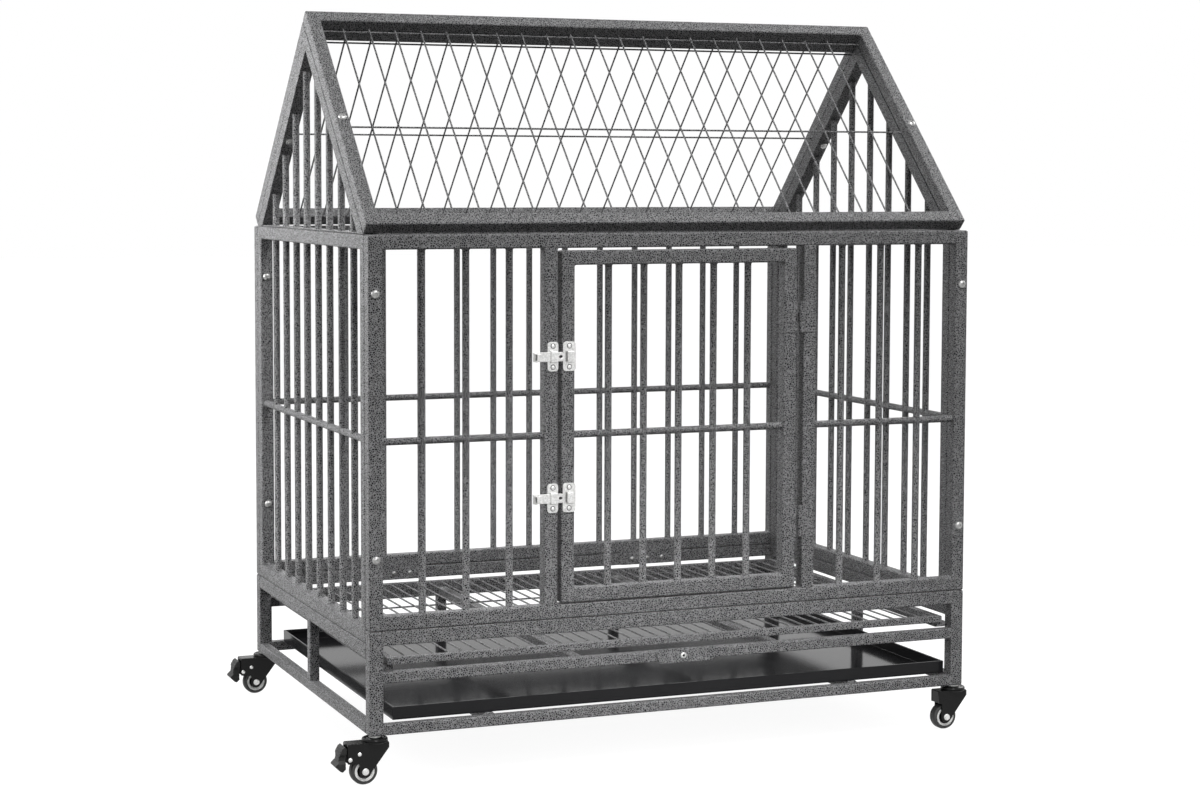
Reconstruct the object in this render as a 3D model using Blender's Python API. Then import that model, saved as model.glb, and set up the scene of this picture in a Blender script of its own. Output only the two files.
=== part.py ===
import bpy
import bmesh
from math import cos, hypot, pi, radians, sin, tan
from mathutils import Matrix, Vector

for old_object in list(bpy.data.objects):
    bpy.data.objects.remove(old_object, do_unlink=True)

# Overall sizes, in metres: X runs left to right, Y front to back, Z up from the floor
cage_width = 0.920
cage_depth = 0.620
base_height = 0.1426
side_step = 0.0190
panel_height = 0.5340
fit_gap = 0.0003

# Steel sections
frame_tube = 0.020
rail_tube = 0.015
bar_diameter = 0.010
bar_sides = 6
wire_size = 0.003
weld_depth = 0.0015

# Panels: upright bars, mid bars and the doorway
mid_bar_drop = 0.2785
side_bar_pitch = 0.060
back_bar_count = 13
front_bar_start = 0.058
front_bar_pitch = 0.0629
front_bars_per_side = 3
left_jamb_start = 0.252
right_jamb_inset = 0.250
door_gap_latch = 0.0050
door_gap_hinge = 0.0110
door_gap_top = 0.0035
door_gap_bottom = 0.0015
door_bar_count = 5

# Base: rails, floor grid, tray and the bars that carry them
mid_rail_lift = 0.0712
grid_ledge_width = 0.018
grid_ledge_height = 0.0088
grid_bar = 0.010
grid_left_inset = 0.026
grid_right_inset = 0.034
grid_front_inset = 0.003
grid_back_inset = 0.057
grid_wire_pitch = 0.021
grid_cross_wires = 2
tray_left_inset = 0.038
tray_right_inset = 0.022
tray_front_inset = 0.018
tray_back_inset = 0.022
tray_wall_height = 0.018
tray_sheet = 0.0012
tray_bearer_spread = 0.567
tray_bearer_lift = 0.001

# Roof: two framed slopes over a pair of gables
roof_pitch = radians(45)
eave_setback = 0.008
roof_seat_gap = 0.0005
roof_wire_pitch = 0.0395
roof_wire_shifts = (-0.0092, 0.0)
roof_mid_rod_runs = (0.2035, 0.1965)
roof_end_rod_inset = 0.008
gable_foot = 0.002

# Domed bolts through the posts and the roof stiles
bolt_diameter = 0.006
bolt_head_diameter = 0.012
bolt_head_height = 0.0036
bolt_clearance = 0.0003
bolt_sides = 8
upper_bolt_drop = 0.0790
lower_bolt_drop = 0.4370
roof_bolt_run = 0.2050
roof_nut_height = 0.004

# Door hinges
hinge_drops = (0.1220, 0.4160)
hinge_barrel_diameter = 0.009
hinge_barrel_length = 0.044
hinge_pin_diameter = 0.004
hinge_leaf_width = 0.017
hinge_leaf_thickness = 0.0015

# Door slide bolts
slide_bolt_drops = (0.1690, 0.3650)
bolt_plate_width = 0.017
bolt_plate_height = 0.042
bolt_plate_thickness = 0.0015
bolt_plate_rivet = 0.007
bolt_plate_rivet_height = 0.0016
bolt_plate_rivet_inset = 0.0065
strap_width = 0.009
strap_thickness = 0.0014
keeper_inset = 0.0015
keeper_width = 0.019
slide_bar_height = 0.0130
slide_bar_thickness = 0.0030
slide_bar_overhang = 0.0180
slide_bar_corner = 0.003
slide_bar_eye = (0.0044, 0.0036)
slide_clearance = 0.0004
bolt_knob_height = 0.007
bolt_knob_width = 0.009

# Turning latch on the front mid rail
latch_length = 0.0900
latch_height = 0.0205
latch_thickness = 0.0025
latch_short_arm = 0.0400
latch_pivot_offset = 0.0020
latch_rivet_diameter = 0.005
latch_rivet_head = 0.009
latch_rivet_head_height = 0.002

# Plates that join the back panel to the base
back_plate_above_seam = 0.010
back_plate_below_seam = 0.020
back_plate_thickness = 0.0015
back_plate_left_inset = 0.200
back_plate_right_inset = 0.202
back_screw_pitch = 0.027
back_screw_head = 0.008
back_screw_head_height = 0.0022
back_plate_margin = 0.0225

# Swivel casters, which trail to the left
wheel_diameter = 0.038
wheel_width = 0.0150
wheel_edge = 0.002
wheel_hub_diameter = 0.027
wheel_hub_dish = 0.0016
wheel_headroom = 0.0161
caster_trail = 0.0165
caster_head_diameter = 0.036
caster_head_height = 0.0090
caster_head_edge = 0.0035
caster_plate_thickness = 0.004
collar_diameter = 0.017
collar_height = 0.0018
stem_diameter = 0.008
stem_length = 0.028
stem_head_diameter = 0.013
stem_head_height = 0.0022
stem_clearance = 0.0004
cheek_thickness = 0.0025
cheek_gap = 0.0015
cheek_tail = 0.0135
cheek_tail_foot = 0.0150
cheek_boss_diameter = 0.017
axle_diameter = 0.005
axle_head_diameter = 0.009
axle_head_height = 0.0028

# Wheel brakes on the two left casters
brake_pivot_angle = radians(140)
brake_pivot_gap = 0.0088
brake_pin_diameter = 0.0034
brake_pin_head = 0.006
brake_pin_head_height = 0.0016
brake_nose_gap = 0.0008
brake_nose_lag = radians(28)
brake_nose_spread = radians(9)
brake_margin = 0.0035
pedal_overhang = 0.0232
pedal_width = 0.026

# Levels and places that follow from the sizes above
axle_height = wheel_diameter / 2
head_foot = wheel_diameter + wheel_headroom
head_top = head_foot + caster_head_height
caster_height = head_top + collar_height + 2 * fit_gap
base_top = caster_height + base_height
side_base_top = base_top - side_step
panel_foot = base_top + fit_gap
side_panel_foot = side_base_top + fit_gap
cage_top = panel_foot + panel_height
side_start = frame_tube + fit_gap
side_end = cage_depth - frame_tube - fit_gap
mid_depth = cage_depth / 2
leg_centre = frame_tube / 2
right_leg_centre = cage_width - leg_centre
back_leg_centre = cage_depth - leg_centre
lower_rail_z = (caster_height, caster_height + rail_tube)
mid_rail_z = (caster_height + mid_rail_lift, caster_height + mid_rail_lift + rail_tube)
ledge_z = (mid_rail_z[1] + fit_gap, mid_rail_z[1] + fit_gap + grid_ledge_height)
grid_foot = ledge_z[1] + fit_gap
bearer_foot = caster_height + tray_bearer_lift
tray_foot = bearer_foot + rail_tube + fit_gap
third_positions = (cage_width / 3, cage_width * 2 / 3)
mid_bar_z = cage_top - mid_bar_drop

jamb_right = left_jamb_start + frame_tube
door_left = jamb_right + door_gap_latch
right_jamb_start = cage_width - right_jamb_inset - frame_tube
door_right = right_jamb_start - door_gap_hinge
door_foot = panel_foot + frame_tube + door_gap_bottom
door_top = cage_top - frame_tube - door_gap_top
hinge_x = door_right + door_gap_hinge / 2
hinge_y = -hinge_barrel_diameter / 2

# The slide bolts stop just clear of the arc that the door's free edge sweeps
door_sweep = hypot(hinge_x - door_left, frame_tube - hinge_y)
bolt_tip = hinge_x - door_sweep - slide_clearance
keeper_left = door_left + keeper_inset
bolt_back_face = -fit_gap - bolt_plate_thickness - slide_clearance
bolt_front_face = bolt_back_face - slide_bar_thickness
knob_front = bolt_front_face - bolt_knob_height

brake_pivot_dx = (axle_height + brake_pivot_gap) * cos(brake_pivot_angle)
brake_pivot_dz = (axle_height + brake_pivot_gap) * sin(brake_pivot_angle)
cheek_inner = wheel_width / 2 + cheek_gap
cheek_outer = cheek_inner + cheek_thickness

# Everything hangs from one empty that puts the footprint's centre at the origin
left_extent = leg_centre - caster_trail + brake_pivot_dx - pedal_overhang
right_extent = right_leg_centre + caster_head_diameter / 2
front_extent = min(knob_front, leg_centre - caster_head_diameter / 2)
back_extent = back_leg_centre + caster_head_diameter / 2
cage = bpy.data.objects.new("cage", None)
bpy.context.scene.collection.objects.link(cage)
cage.location = (-(left_extent + right_extent) / 2, -(front_extent + back_extent) / 2, 0)

# Each look: colour, roughness, metallic
looks = {
    "hammertone": ((0.110, 0.110, 0.115), 0.45, 0.55),
    "tray_enamel": ((0.035, 0.035, 0.038), 0.22, 0.0),
    "zinc": ((0.800, 0.800, 0.780), 0.30, 1.0),
    "black_steel": ((0.020, 0.020, 0.021), 0.40, 0.3),
    "caster_tyre": ((0.018, 0.018, 0.018), 0.60, 0.0),
    "pedal_plastic": ((0.045, 0.045, 0.045), 0.55, 0.0),
}


def paint(name):
    colour, roughness, metallic = looks[name]
    material = bpy.data.materials.new(name)
    material.use_nodes = True
    shader = material.node_tree.nodes["Principled BSDF"]
    shader.inputs["Base Color"].default_value = (*colour, 1)
    shader.inputs["Roughness"].default_value = roughness
    shader.inputs["Metallic"].default_value = metallic
    return material


# Basic shapes, drawn in cage positions
def box(x_range, y_range, z_range):
    shape = bmesh.new()
    bmesh.ops.create_cube(shape, size=1)
    ranges = (x_range, y_range, z_range)
    for corner in shape.verts:
        corner.co = [low + (high - low) * (value + 0.5) for (low, high), value in zip(ranges, corner.co)]
    return shape


def rod(start, end, diameter, sides, turn=0.0):
    start = Vector(start)
    run = Vector(end) - start
    shape = bmesh.new()
    bmesh.ops.create_cone(
        shape, cap_ends=True, segments=sides, radius1=diameter / 2, radius2=diameter / 2, depth=run.length
    )
    aim = run.to_track_quat("Z", "Y").to_matrix().to_4x4()
    place = Matrix.Translation(start + run / 2) @ aim @ Matrix.Rotation(turn, 4, "Z")
    bmesh.ops.transform(shape, matrix=place, verts=shape.verts)
    return shape


def turned(profile, centre, direction, segments):
    # The profile lists (radius, distance along the axis); one that starts off the axis closes on itself
    shape = bmesh.new()
    outline = [shape.verts.new((radius, 0, along)) for radius, along in profile]
    edges = [shape.edges.new(pair) for pair in zip(outline, outline[1:])]
    if profile[0][0] > 0:
        edges.append(shape.edges.new((outline[-1], outline[0])))
    bmesh.ops.spin(shape, geom=outline + edges, axis=(0, 0, 1), cent=(0, 0, 0), angle=2 * pi, steps=segments)
    bmesh.ops.remove_doubles(shape, verts=shape.verts, dist=1e-6)
    aim = Vector(direction).to_track_quat("Z", "Y").to_matrix().to_4x4()
    bmesh.ops.transform(shape, matrix=Matrix.Translation(centre) @ aim, verts=shape.verts)
    bmesh.ops.recalc_face_normals(shape, faces=shape.faces)
    return shape


def prism(points, low, high, place):
    # place turns one outline point and a depth into a position
    shape = bmesh.new()
    near = [shape.verts.new(place(point, low)) for point in points]
    far = [shape.verts.new(place(point, high)) for point in points]
    shape.faces.new(near)
    shape.faces.new(far)
    for index in range(len(points)):
        following = (index + 1) % len(points)
        shape.faces.new((near[index], near[following], far[following], far[index]))
    bmesh.ops.recalc_face_normals(shape, faces=shape.faces)
    return shape


def ring_prism(outer, inner, low, high, place):
    # A frame: an outline around a hole with as many corners
    shape = bmesh.new()
    near_outer, near_inner, far_outer, far_inner = [
        [shape.verts.new(place(point, depth)) for point in loop]
        for depth in (low, high) for loop in (outer, inner)
    ]
    for index in range(len(outer)):
        following = (index + 1) % len(outer)
        for first, second in ((near_outer, near_inner), (far_outer, far_inner),
                              (near_outer, far_outer), (near_inner, far_inner)):
            shape.faces.new((first[index], first[following], second[following], second[index]))
    bmesh.ops.recalc_face_normals(shape, faces=shape.faces)
    return shape


def across_x(point, depth):
    return (depth, point[0], point[1])


def across_y(point, depth):
    return (point[0], depth, point[1])


def across_z(point, depth):
    return (point[0], point[1], depth)


def rectangle(low_1, high_1, low_2, high_2):
    return [(low_1, low_2), (high_1, low_2), (high_1, high_2), (low_1, high_2)]


def arc(centre, radius, start, end, steps):
    angles = [start + (end - start) * step / steps for step in range(steps + 1)]
    return [(centre[0] + radius * cos(angle), centre[1] + radius * sin(angle)) for angle in angles]


def dome_profile(diameter, height, seat=0.0, steps=3):
    angles = [pi / 2 * step / steps for step in range(steps)]
    rise = [(diameter / 2 * cos(angle), seat + height * sin(angle)) for angle in angles]
    return rise + [(0, seat + height)]


def dome_head(centre, direction, diameter, height):
    # A domed head let a little way into the surface that it stands on
    profile = [(0, -bolt_clearance), (diameter / 2, -bolt_clearance)] + dome_profile(diameter, height)
    return turned(profile, centre, direction, bolt_sides)


def mirrored(x_range, side):
    # side is 0 on the left of the cage and 1 on the right
    if side == 0:
        return x_range
    return (cage_width - x_range[1], cage_width - x_range[0])


# Joining shapes, and turning them into named pieces
def merged(shapes):
    result = bmesh.new()
    for shape in shapes:
        mesh = bpy.data.meshes.new("shape")
        shape.to_mesh(mesh)
        shape.free()
        result.from_mesh(mesh)
        bpy.data.meshes.remove(mesh)
    return result


def guide(shapes):
    mesh = bpy.data.meshes.new("guide")
    shape = merged(shapes)
    shape.to_mesh(mesh)
    shape.free()
    result = bpy.data.objects.new("guide", mesh)
    bpy.context.scene.collection.objects.link(result)
    result.hide_render = True
    result.display_type = "WIRE"
    return result


def solid(first, added=(), cut=()):
    # Unites the added shapes with the first, then takes the cut shapes away
    base = guide([first])
    helpers = []
    for operation, shapes in (("UNION", added), ("DIFFERENCE", cut)):
        if shapes:
            helper = guide(shapes)
            helpers.append(helper)
            boolean = base.modifiers.new(operation, "BOOLEAN")
            boolean.operation = operation
            boolean.solver = "EXACT"
            boolean.use_self = True
            boolean.object = helper
    graph = bpy.context.evaluated_depsgraph_get()
    mesh = bpy.data.meshes.new_from_object(base.evaluated_get(graph))
    shape = bmesh.new()
    shape.from_mesh(mesh)
    bmesh.ops.remove_doubles(shape, verts=shape.verts, dist=1e-6)
    bpy.data.meshes.remove(mesh)
    for helper in (base, *helpers):
        bpy.data.objects.remove(helper, do_unlink=True)
    return shape


def piece(name, shape, look, origin, round_piece=False):
    # The object's own origin lies at the given cage position
    bmesh.ops.translate(shape, verts=shape.verts, vec=-Vector(origin))
    mesh = bpy.data.meshes.new(name)
    shape.to_mesh(mesh)
    shape.free()
    if round_piece:
        mesh.shade_smooth()
        mesh.set_sharp_from_angle(angle=radians(35))
    if look not in bpy.data.materials:
        paint(look)
    mesh.materials.append(bpy.data.materials[look])
    result = bpy.data.objects.new(name, mesh)
    bpy.context.scene.collection.objects.link(result)
    result.parent = cage
    result.location = origin


def upright(x, y, z_range):
    # A round bar, let into the rails above and below it
    start = (x, y, z_range[0] - weld_depth)
    return rod(start, (x, y, z_range[1] + weld_depth), bar_diameter, bar_sides)


def crossbar_x(x_range, y):
    start = (x_range[0] - weld_depth, y, mid_bar_z)
    return rod(start, (x_range[1] + weld_depth, y, mid_bar_z), bar_diameter, bar_sides, turn=pi / bar_sides)


def crossbar_y(x, y_range):
    start = (x, y_range[0] - weld_depth, mid_bar_z)
    return rod(start, (x, y_range[1] + weld_depth, mid_bar_z), bar_diameter, bar_sides, turn=pi / bar_sides)


def bolt_hole(start, end):
    return rod(start, end, bolt_diameter + 2 * bolt_clearance, bolt_sides)


# Base: front and back frames on legs, with holes that take the caster stems
def stem_hole(x, y):
    top = caster_height + stem_length + stem_clearance
    return rod((x, y, caster_height - fit_gap), (x, y, top), stem_diameter + 2 * stem_clearance, 10)


def legged_frame(name, y_range, rail_y, leg_y, top, posts):
    rail_x = (frame_tube - weld_depth, cage_width - frame_tube + weld_depth)
    left_leg = box((0, frame_tube), y_range, (caster_height, top))
    others = [box((cage_width - frame_tube, cage_width), y_range, (caster_height, top)),
              box(rail_x, rail_y, lower_rail_z),
              box(rail_x, rail_y, mid_rail_z),
              box(rail_x, y_range, (top - frame_tube, top))]
    holes = [stem_hole(x, leg_y) for x in (leg_centre, right_leg_centre)]
    piece(name, solid(left_leg, others + posts, holes), "hammertone", (0, y_range[0], caster_height))


side_post_z = (lower_rail_z[1] - weld_depth, side_base_top - frame_tube + weld_depth)
back_rail_y = (cage_depth - rail_tube, cage_depth)
back_posts = [box((x - rail_tube / 2, x + rail_tube / 2), back_rail_y, side_post_z) for x in third_positions]
legged_frame("base_front_frame", (0, frame_tube), (0, rail_tube), leg_centre, base_top, [])
legged_frame("base_back_frame", (cage_depth - frame_tube, cage_depth), back_rail_y,
             back_leg_centre, side_base_top, back_posts)


# Base: side frames, each with a ledge inside that carries the floor grid
def base_side_frame(name, side):
    ledge_x = (frame_tube + 2 * fit_gap, frame_tube + 2 * fit_gap + grid_ledge_width)
    post_y = (mid_depth - rail_tube / 2, mid_depth + rail_tube / 2)
    top_rail = box(mirrored((0, frame_tube), side), (side_start, side_end),
                   (side_base_top - frame_tube, side_base_top))
    others = [box(mirrored((0, rail_tube), side), (side_start, side_end), lower_rail_z),
              box(mirrored((0, rail_tube), side), post_y, side_post_z),
              box(mirrored((rail_tube - weld_depth, ledge_x[0] + weld_depth), side), post_y, ledge_z),
              box(mirrored(ledge_x, side), (fit_gap, cage_depth - fit_gap), ledge_z)]
    piece(name, solid(top_rail, others), "hammertone", (side * cage_width, side_start, caster_height))


base_side_frame("base_left_frame", 0)
base_side_frame("base_right_frame", 1)


# Bars inside the base, from the front rails to the back rails
def base_bar(name, centre, z_range):
    y_range = (rail_tube + fit_gap, cage_depth - rail_tube - fit_gap)
    shape = box((centre - rail_tube / 2, centre + rail_tube / 2), y_range, z_range)
    piece(name, shape, "hammertone", (centre, y_range[0], z_range[0]))


base_bar("floor_bar_left", third_positions[0], mid_rail_z)
base_bar("floor_bar_right", third_positions[1], mid_rail_z)
bearer_z = (bearer_foot, bearer_foot + rail_tube)
base_bar("tray_bearer_left", (cage_width - tray_bearer_spread) / 2, bearer_z)
base_bar("tray_bearer_right", (cage_width + tray_bearer_spread) / 2, bearer_z)


# Pull-out floor grid: a frame of square bar, with wires from front to back
def floor_grid():
    x_range = (grid_left_inset, cage_width - grid_right_inset)
    y_range = (grid_front_inset, cage_depth - grid_back_inset)
    inner_x = (x_range[0] + grid_bar, x_range[1] - grid_bar)
    inner_y = (y_range[0] + grid_bar, y_range[1] - grid_bar)
    frame = ring_prism(rectangle(*x_range, *y_range), rectangle(*inner_x, *inner_y),
                       grid_foot, grid_foot + grid_bar, across_z)
    half = wire_size / 2
    long_top = grid_foot + grid_bar - half
    gaps = round((inner_x[1] - inner_x[0]) / grid_wire_pitch)
    wires = []
    for index in range(1, gaps):
        x = inner_x[0] + (inner_x[1] - inner_x[0]) * index / gaps
        wires.append(box((x - half, x + half), (inner_y[0] - weld_depth, inner_y[1] + weld_depth),
                         (long_top - wire_size, long_top)))
    cross_top = long_top - half
    for index in range(1, grid_cross_wires + 1):
        y = inner_y[0] + (inner_y[1] - inner_y[0]) * index / (grid_cross_wires + 1)
        wires.append(box((inner_x[0] - weld_depth, inner_x[1] + weld_depth), (y - half, y + half),
                         (cross_top - wire_size, cross_top)))
    piece("floor_grid", solid(frame, wires), "hammertone", (x_range[0], y_range[0], grid_foot))


# Pull-out tray: folded sheet with four upright walls
def tray():
    x_range = (tray_left_inset, cage_width - tray_right_inset)
    y_range = (tray_front_inset, cage_depth - tray_back_inset)
    outside = box(x_range, y_range, (tray_foot, tray_foot + tray_wall_height))
    inside = box((x_range[0] + tray_sheet, x_range[1] - tray_sheet),
                 (y_range[0] + tray_sheet, y_range[1] - tray_sheet),
                 (tray_foot + tray_sheet, tray_foot + 2 * tray_wall_height))
    piece("tray", solid(outside, cut=[inside]), "tray_enamel", (x_range[0], y_range[0], tray_foot))


floor_grid()
tray()


# Front panel with the doorway between two jambs
post_shank = 2 * frame_tube + fit_gap - weld_depth
bolt_levels = (("upper", cage_top - upper_bolt_drop), ("lower", cage_top - lower_bolt_drop))


def front_panel():
    inner_z = (panel_foot + frame_tube, cage_top - frame_tube)
    frame = ring_prism(rectangle(0, cage_width, panel_foot, cage_top),
                       rectangle(frame_tube, cage_width - frame_tube, *inner_z), 0, frame_tube, across_y)
    jambs = [box((x, x + frame_tube), (0, frame_tube), (inner_z[0] - weld_depth, inner_z[1] + weld_depth))
             for x in (left_jamb_start, right_jamb_start)]
    bars = [crossbar_x((frame_tube, left_jamb_start), leg_centre),
            crossbar_x((right_jamb_start + frame_tube, cage_width - frame_tube), leg_centre)]
    for index in range(front_bars_per_side):
        inset = frame_tube + front_bar_start + index * front_bar_pitch
        bars.append(upright(inset, leg_centre, inner_z))
        bars.append(upright(cage_width - inset, leg_centre, inner_z))
    holes = [bolt_hole((x, -weld_depth, z), (x, frame_tube + weld_depth, z))
             for x in (leg_centre, right_leg_centre) for _, z in bolt_levels]
    piece("front_panel", solid(frame, jambs + bars, holes), "hammertone", (0, 0, panel_foot))


# Back panel: evenly spaced bars
def back_panel():
    inner_x = (frame_tube, cage_width - frame_tube)
    inner_z = (side_panel_foot + frame_tube, cage_top - frame_tube)
    frame = ring_prism(rectangle(0, cage_width, side_panel_foot, cage_top), rectangle(*inner_x, *inner_z),
                       cage_depth - frame_tube, cage_depth, across_y)
    bars = [crossbar_x(inner_x, back_leg_centre)]
    for index in range(1, back_bar_count + 1):
        x = inner_x[0] + (inner_x[1] - inner_x[0]) * index / (back_bar_count + 1)
        bars.append(upright(x, back_leg_centre, inner_z))
    piece("back_panel", solid(frame, bars), "hammertone", (0, cage_depth, side_panel_foot))


# Side panels: the front stile takes the post bolts, the rear stile carries its own bolt heads
def side_bar_positions():
    bar_count = round((side_end - side_start - 2 * frame_tube) / side_bar_pitch) - 1
    first = mid_depth - (bar_count - 1) * side_bar_pitch / 2
    return [first + index * side_bar_pitch for index in range(bar_count)]


def side_panel(name, side):
    x = right_leg_centre if side else leg_centre
    inner_y = (side_start + frame_tube, side_end - frame_tube)
    inner_z = (side_panel_foot + frame_tube, cage_top - frame_tube)
    frame = ring_prism(rectangle(side_start, side_end, side_panel_foot, cage_top),
                       rectangle(*inner_y, *inner_z), *mirrored((0, frame_tube), side), across_x)
    bars = [upright(x, y, inner_z) for y in side_bar_positions()]
    bars.append(crossbar_y(x, inner_y))
    heads = [dome_head((x, inner_y[1], z), (0, -1, 0), bolt_head_diameter, bolt_head_height)
             for _, z in bolt_levels]
    holes = [bolt_hole((x, side_start - weld_depth, z), (x, post_shank + bolt_clearance, z))
             for _, z in bolt_levels]
    origin = (side * cage_width, side_start, side_panel_foot)
    piece(name, solid(frame, bars + heads, holes), "hammertone", origin)


front_panel()
back_panel()
side_panel("left_panel", 0)
side_panel("right_panel", 1)

# Roof: the front slope runs up over the ridge end of the back slope
slope_y = cos(roof_pitch)
slope_z = sin(roof_pitch)
roof_foot = cage_top + fit_gap
eave_z = cage_top + roof_seat_gap + frame_tube * slope_y


def on_slope(side, run, depth):
    # A point on the slope's section: run climbs from the eave, depth goes in from the outer face
    y = eave_setback + run * slope_y + depth * slope_z
    z = eave_z + run * slope_z - depth * slope_y
    return (cage_depth - y if side else y, z)


def slope_length(side, depth):
    # The front slope ends flush with the back slope's face, the back slope against the front one
    covered = frame_tube + fit_gap if side else 0
    reach = (cage_depth - 2 * eave_setback) * slope_z - covered
    return (reach + depth * cos(2 * roof_pitch)) / sin(2 * roof_pitch)


def roof_panel(name, side):
    length = slope_length(side, 0)

    def place(point, depth):
        run = point[1] * slope_length(side, depth) / length
        return (point[0], *on_slope(side, run, depth))

    half = wire_size / 2
    inner_run = (frame_tube, length - frame_tube)
    frame = ring_prism(rectangle(0, cage_width, 0, length),
                       rectangle(frame_tube, cage_width - frame_tube, *inner_run), 0, frame_tube, place)
    wire_count = int((cage_width - 2 * frame_tube) / roof_wire_pitch) - 1
    first_wire = (cage_width - (wire_count - 1) * roof_wire_pitch) / 2 + roof_wire_shifts[side]
    wire_depth = frame_tube - 2 * wire_size
    wires = []
    for index in range(wire_count):
        x = first_wire + index * roof_wire_pitch
        outline = rectangle(x - half, x + half, inner_run[0] - weld_depth, inner_run[1] + weld_depth)
        wires.append(prism(outline, wire_depth, wire_depth + wire_size, place))
    for run in (roof_mid_rod_runs[side], inner_run[1] - roof_end_rod_inset):
        outline = rectangle(frame_tube - weld_depth, cage_width - frame_tube + weld_depth, run - half, run + half)
        wires.append(prism(outline, wire_depth + half, wire_depth + half + wire_size, place))
    near = on_slope(side, roof_bolt_run, -weld_depth)
    far = on_slope(side, roof_bolt_run, frame_tube + weld_depth)
    holes = [bolt_hole((x, *near), (x, *far)) for x in (leg_centre, right_leg_centre)]
    piece(name, solid(frame, wires, holes), "hammertone", (0, *on_slope(side, 0, 0)))


roof_panel("front_roof_panel", 0)
roof_panel("back_roof_panel", 1)

# Gables: sloping members under the roof's end stiles, over a thin foot, with bars between
gable_depth = frame_tube + fit_gap


def gable_line(depth, y):
    # Height at y of the line that lies depth below the front slope's outer face
    foot_y, foot_z = on_slope(0, 0, depth)
    return foot_z + (y - foot_y) * tan(roof_pitch)


def gable_triangle(depth, foot):
    apex = gable_line(depth, mid_depth)
    start = mid_depth - (apex - foot) / tan(roof_pitch)
    return [(start, foot), (cage_depth - start, foot), (mid_depth, apex)]


def gable(name, side):
    x = right_leg_centre if side else leg_centre
    outer = gable_triangle(gable_depth, roof_foot)
    inner = gable_triangle(gable_depth + frame_tube, roof_foot + gable_foot)
    frame = ring_prism(outer, inner, *mirrored((0, frame_tube), side), across_x)
    bars = []
    for y in side_bar_positions():
        uphill_side = min(y, cage_depth - y) + bar_diameter / 2
        reach = gable_line(gable_depth + frame_tube, uphill_side) + weld_depth
        bars.append(rod((x, y, roof_foot + gable_foot / 2), (x, y, reach), bar_diameter, bar_sides))
    holes = []
    for slope in (0, 1):
        near = on_slope(slope, roof_bolt_run, gable_depth - weld_depth)
        far = on_slope(slope, roof_bolt_run, gable_depth + frame_tube + weld_depth)
        holes.append(bolt_hole((x, *near), (x, *far)))
    piece(name, solid(frame, bars, holes), "hammertone", (side * cage_width, mid_depth, roof_foot))


gable("left_gable", 0)
gable("right_gable", 1)


# Domed bolts: the shank runs from the head's seat into the metal behind it
def domed_bolt(name, seat, direction, shank_length, nut_height=0.0):
    shank = bolt_diameter / 2
    head = bolt_head_diameter / 2
    profile = [(0, -shank_length), (shank, -shank_length)]
    if nut_height > 0:
        nut_start = -shank_length + weld_depth
        profile += [(shank, nut_start), (head, nut_start),
                    (head, nut_start + nut_height), (shank, nut_start + nut_height)]
    profile.append((shank, fit_gap))
    profile += dome_profile(bolt_head_diameter, bolt_head_height, seat=fit_gap)
    piece(name, turned(profile, seat, direction, bolt_sides), "zinc", seat, round_piece=True)


roof_shank = gable_depth + frame_tube + 2 * fit_gap + roof_nut_height + weld_depth
for side_name, x in (("left", leg_centre), ("right", right_leg_centre)):
    for level_name, z in bolt_levels:
        domed_bolt(f"{side_name}_post_{level_name}_bolt", (x, 0, z), (0, -1, 0), post_shank)
    for slope, slope_name in enumerate(("front", "back")):
        seat = (x, *on_slope(slope, roof_bolt_run, 0))
        outward = (0, slope_z if slope else -slope_z, slope_y)
        domed_bolt(f"{side_name}_roof_{slope_name}_bolt", seat, outward, roof_shank, roof_nut_height)


# Door: a bar grille on a tube frame, hung on its right side
def door():
    inner_x = (door_left + frame_tube, door_right - frame_tube)
    inner_z = (door_foot + frame_tube, door_top - frame_tube)
    frame = ring_prism(rectangle(door_left, door_right, door_foot, door_top),
                       rectangle(*inner_x, *inner_z), 0, frame_tube, across_y)
    bars = [crossbar_x(inner_x, leg_centre)]
    for index in range(1, door_bar_count + 1):
        x = inner_x[0] + (inner_x[1] - inner_x[0]) * index / (door_bar_count + 1)
        bars.append(upright(x, leg_centre, inner_z))
    piece("door", solid(frame, bars), "hammertone", (hinge_x, hinge_y, door_foot))


# Hinges: the jamb leaf holds the pin and two knuckles, the door leaf holds the middle knuckle
def knuckle(z_range, bore_diameter=0.0):
    outer = hinge_barrel_diameter / 2
    bore = bore_diameter / 2
    profile = [(bore, z_range[0]), (outer, z_range[0]), (outer, z_range[1]), (bore, z_range[1])]
    return turned(profile, (hinge_x, hinge_y, 0), (0, 0, 1), 12)


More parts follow.
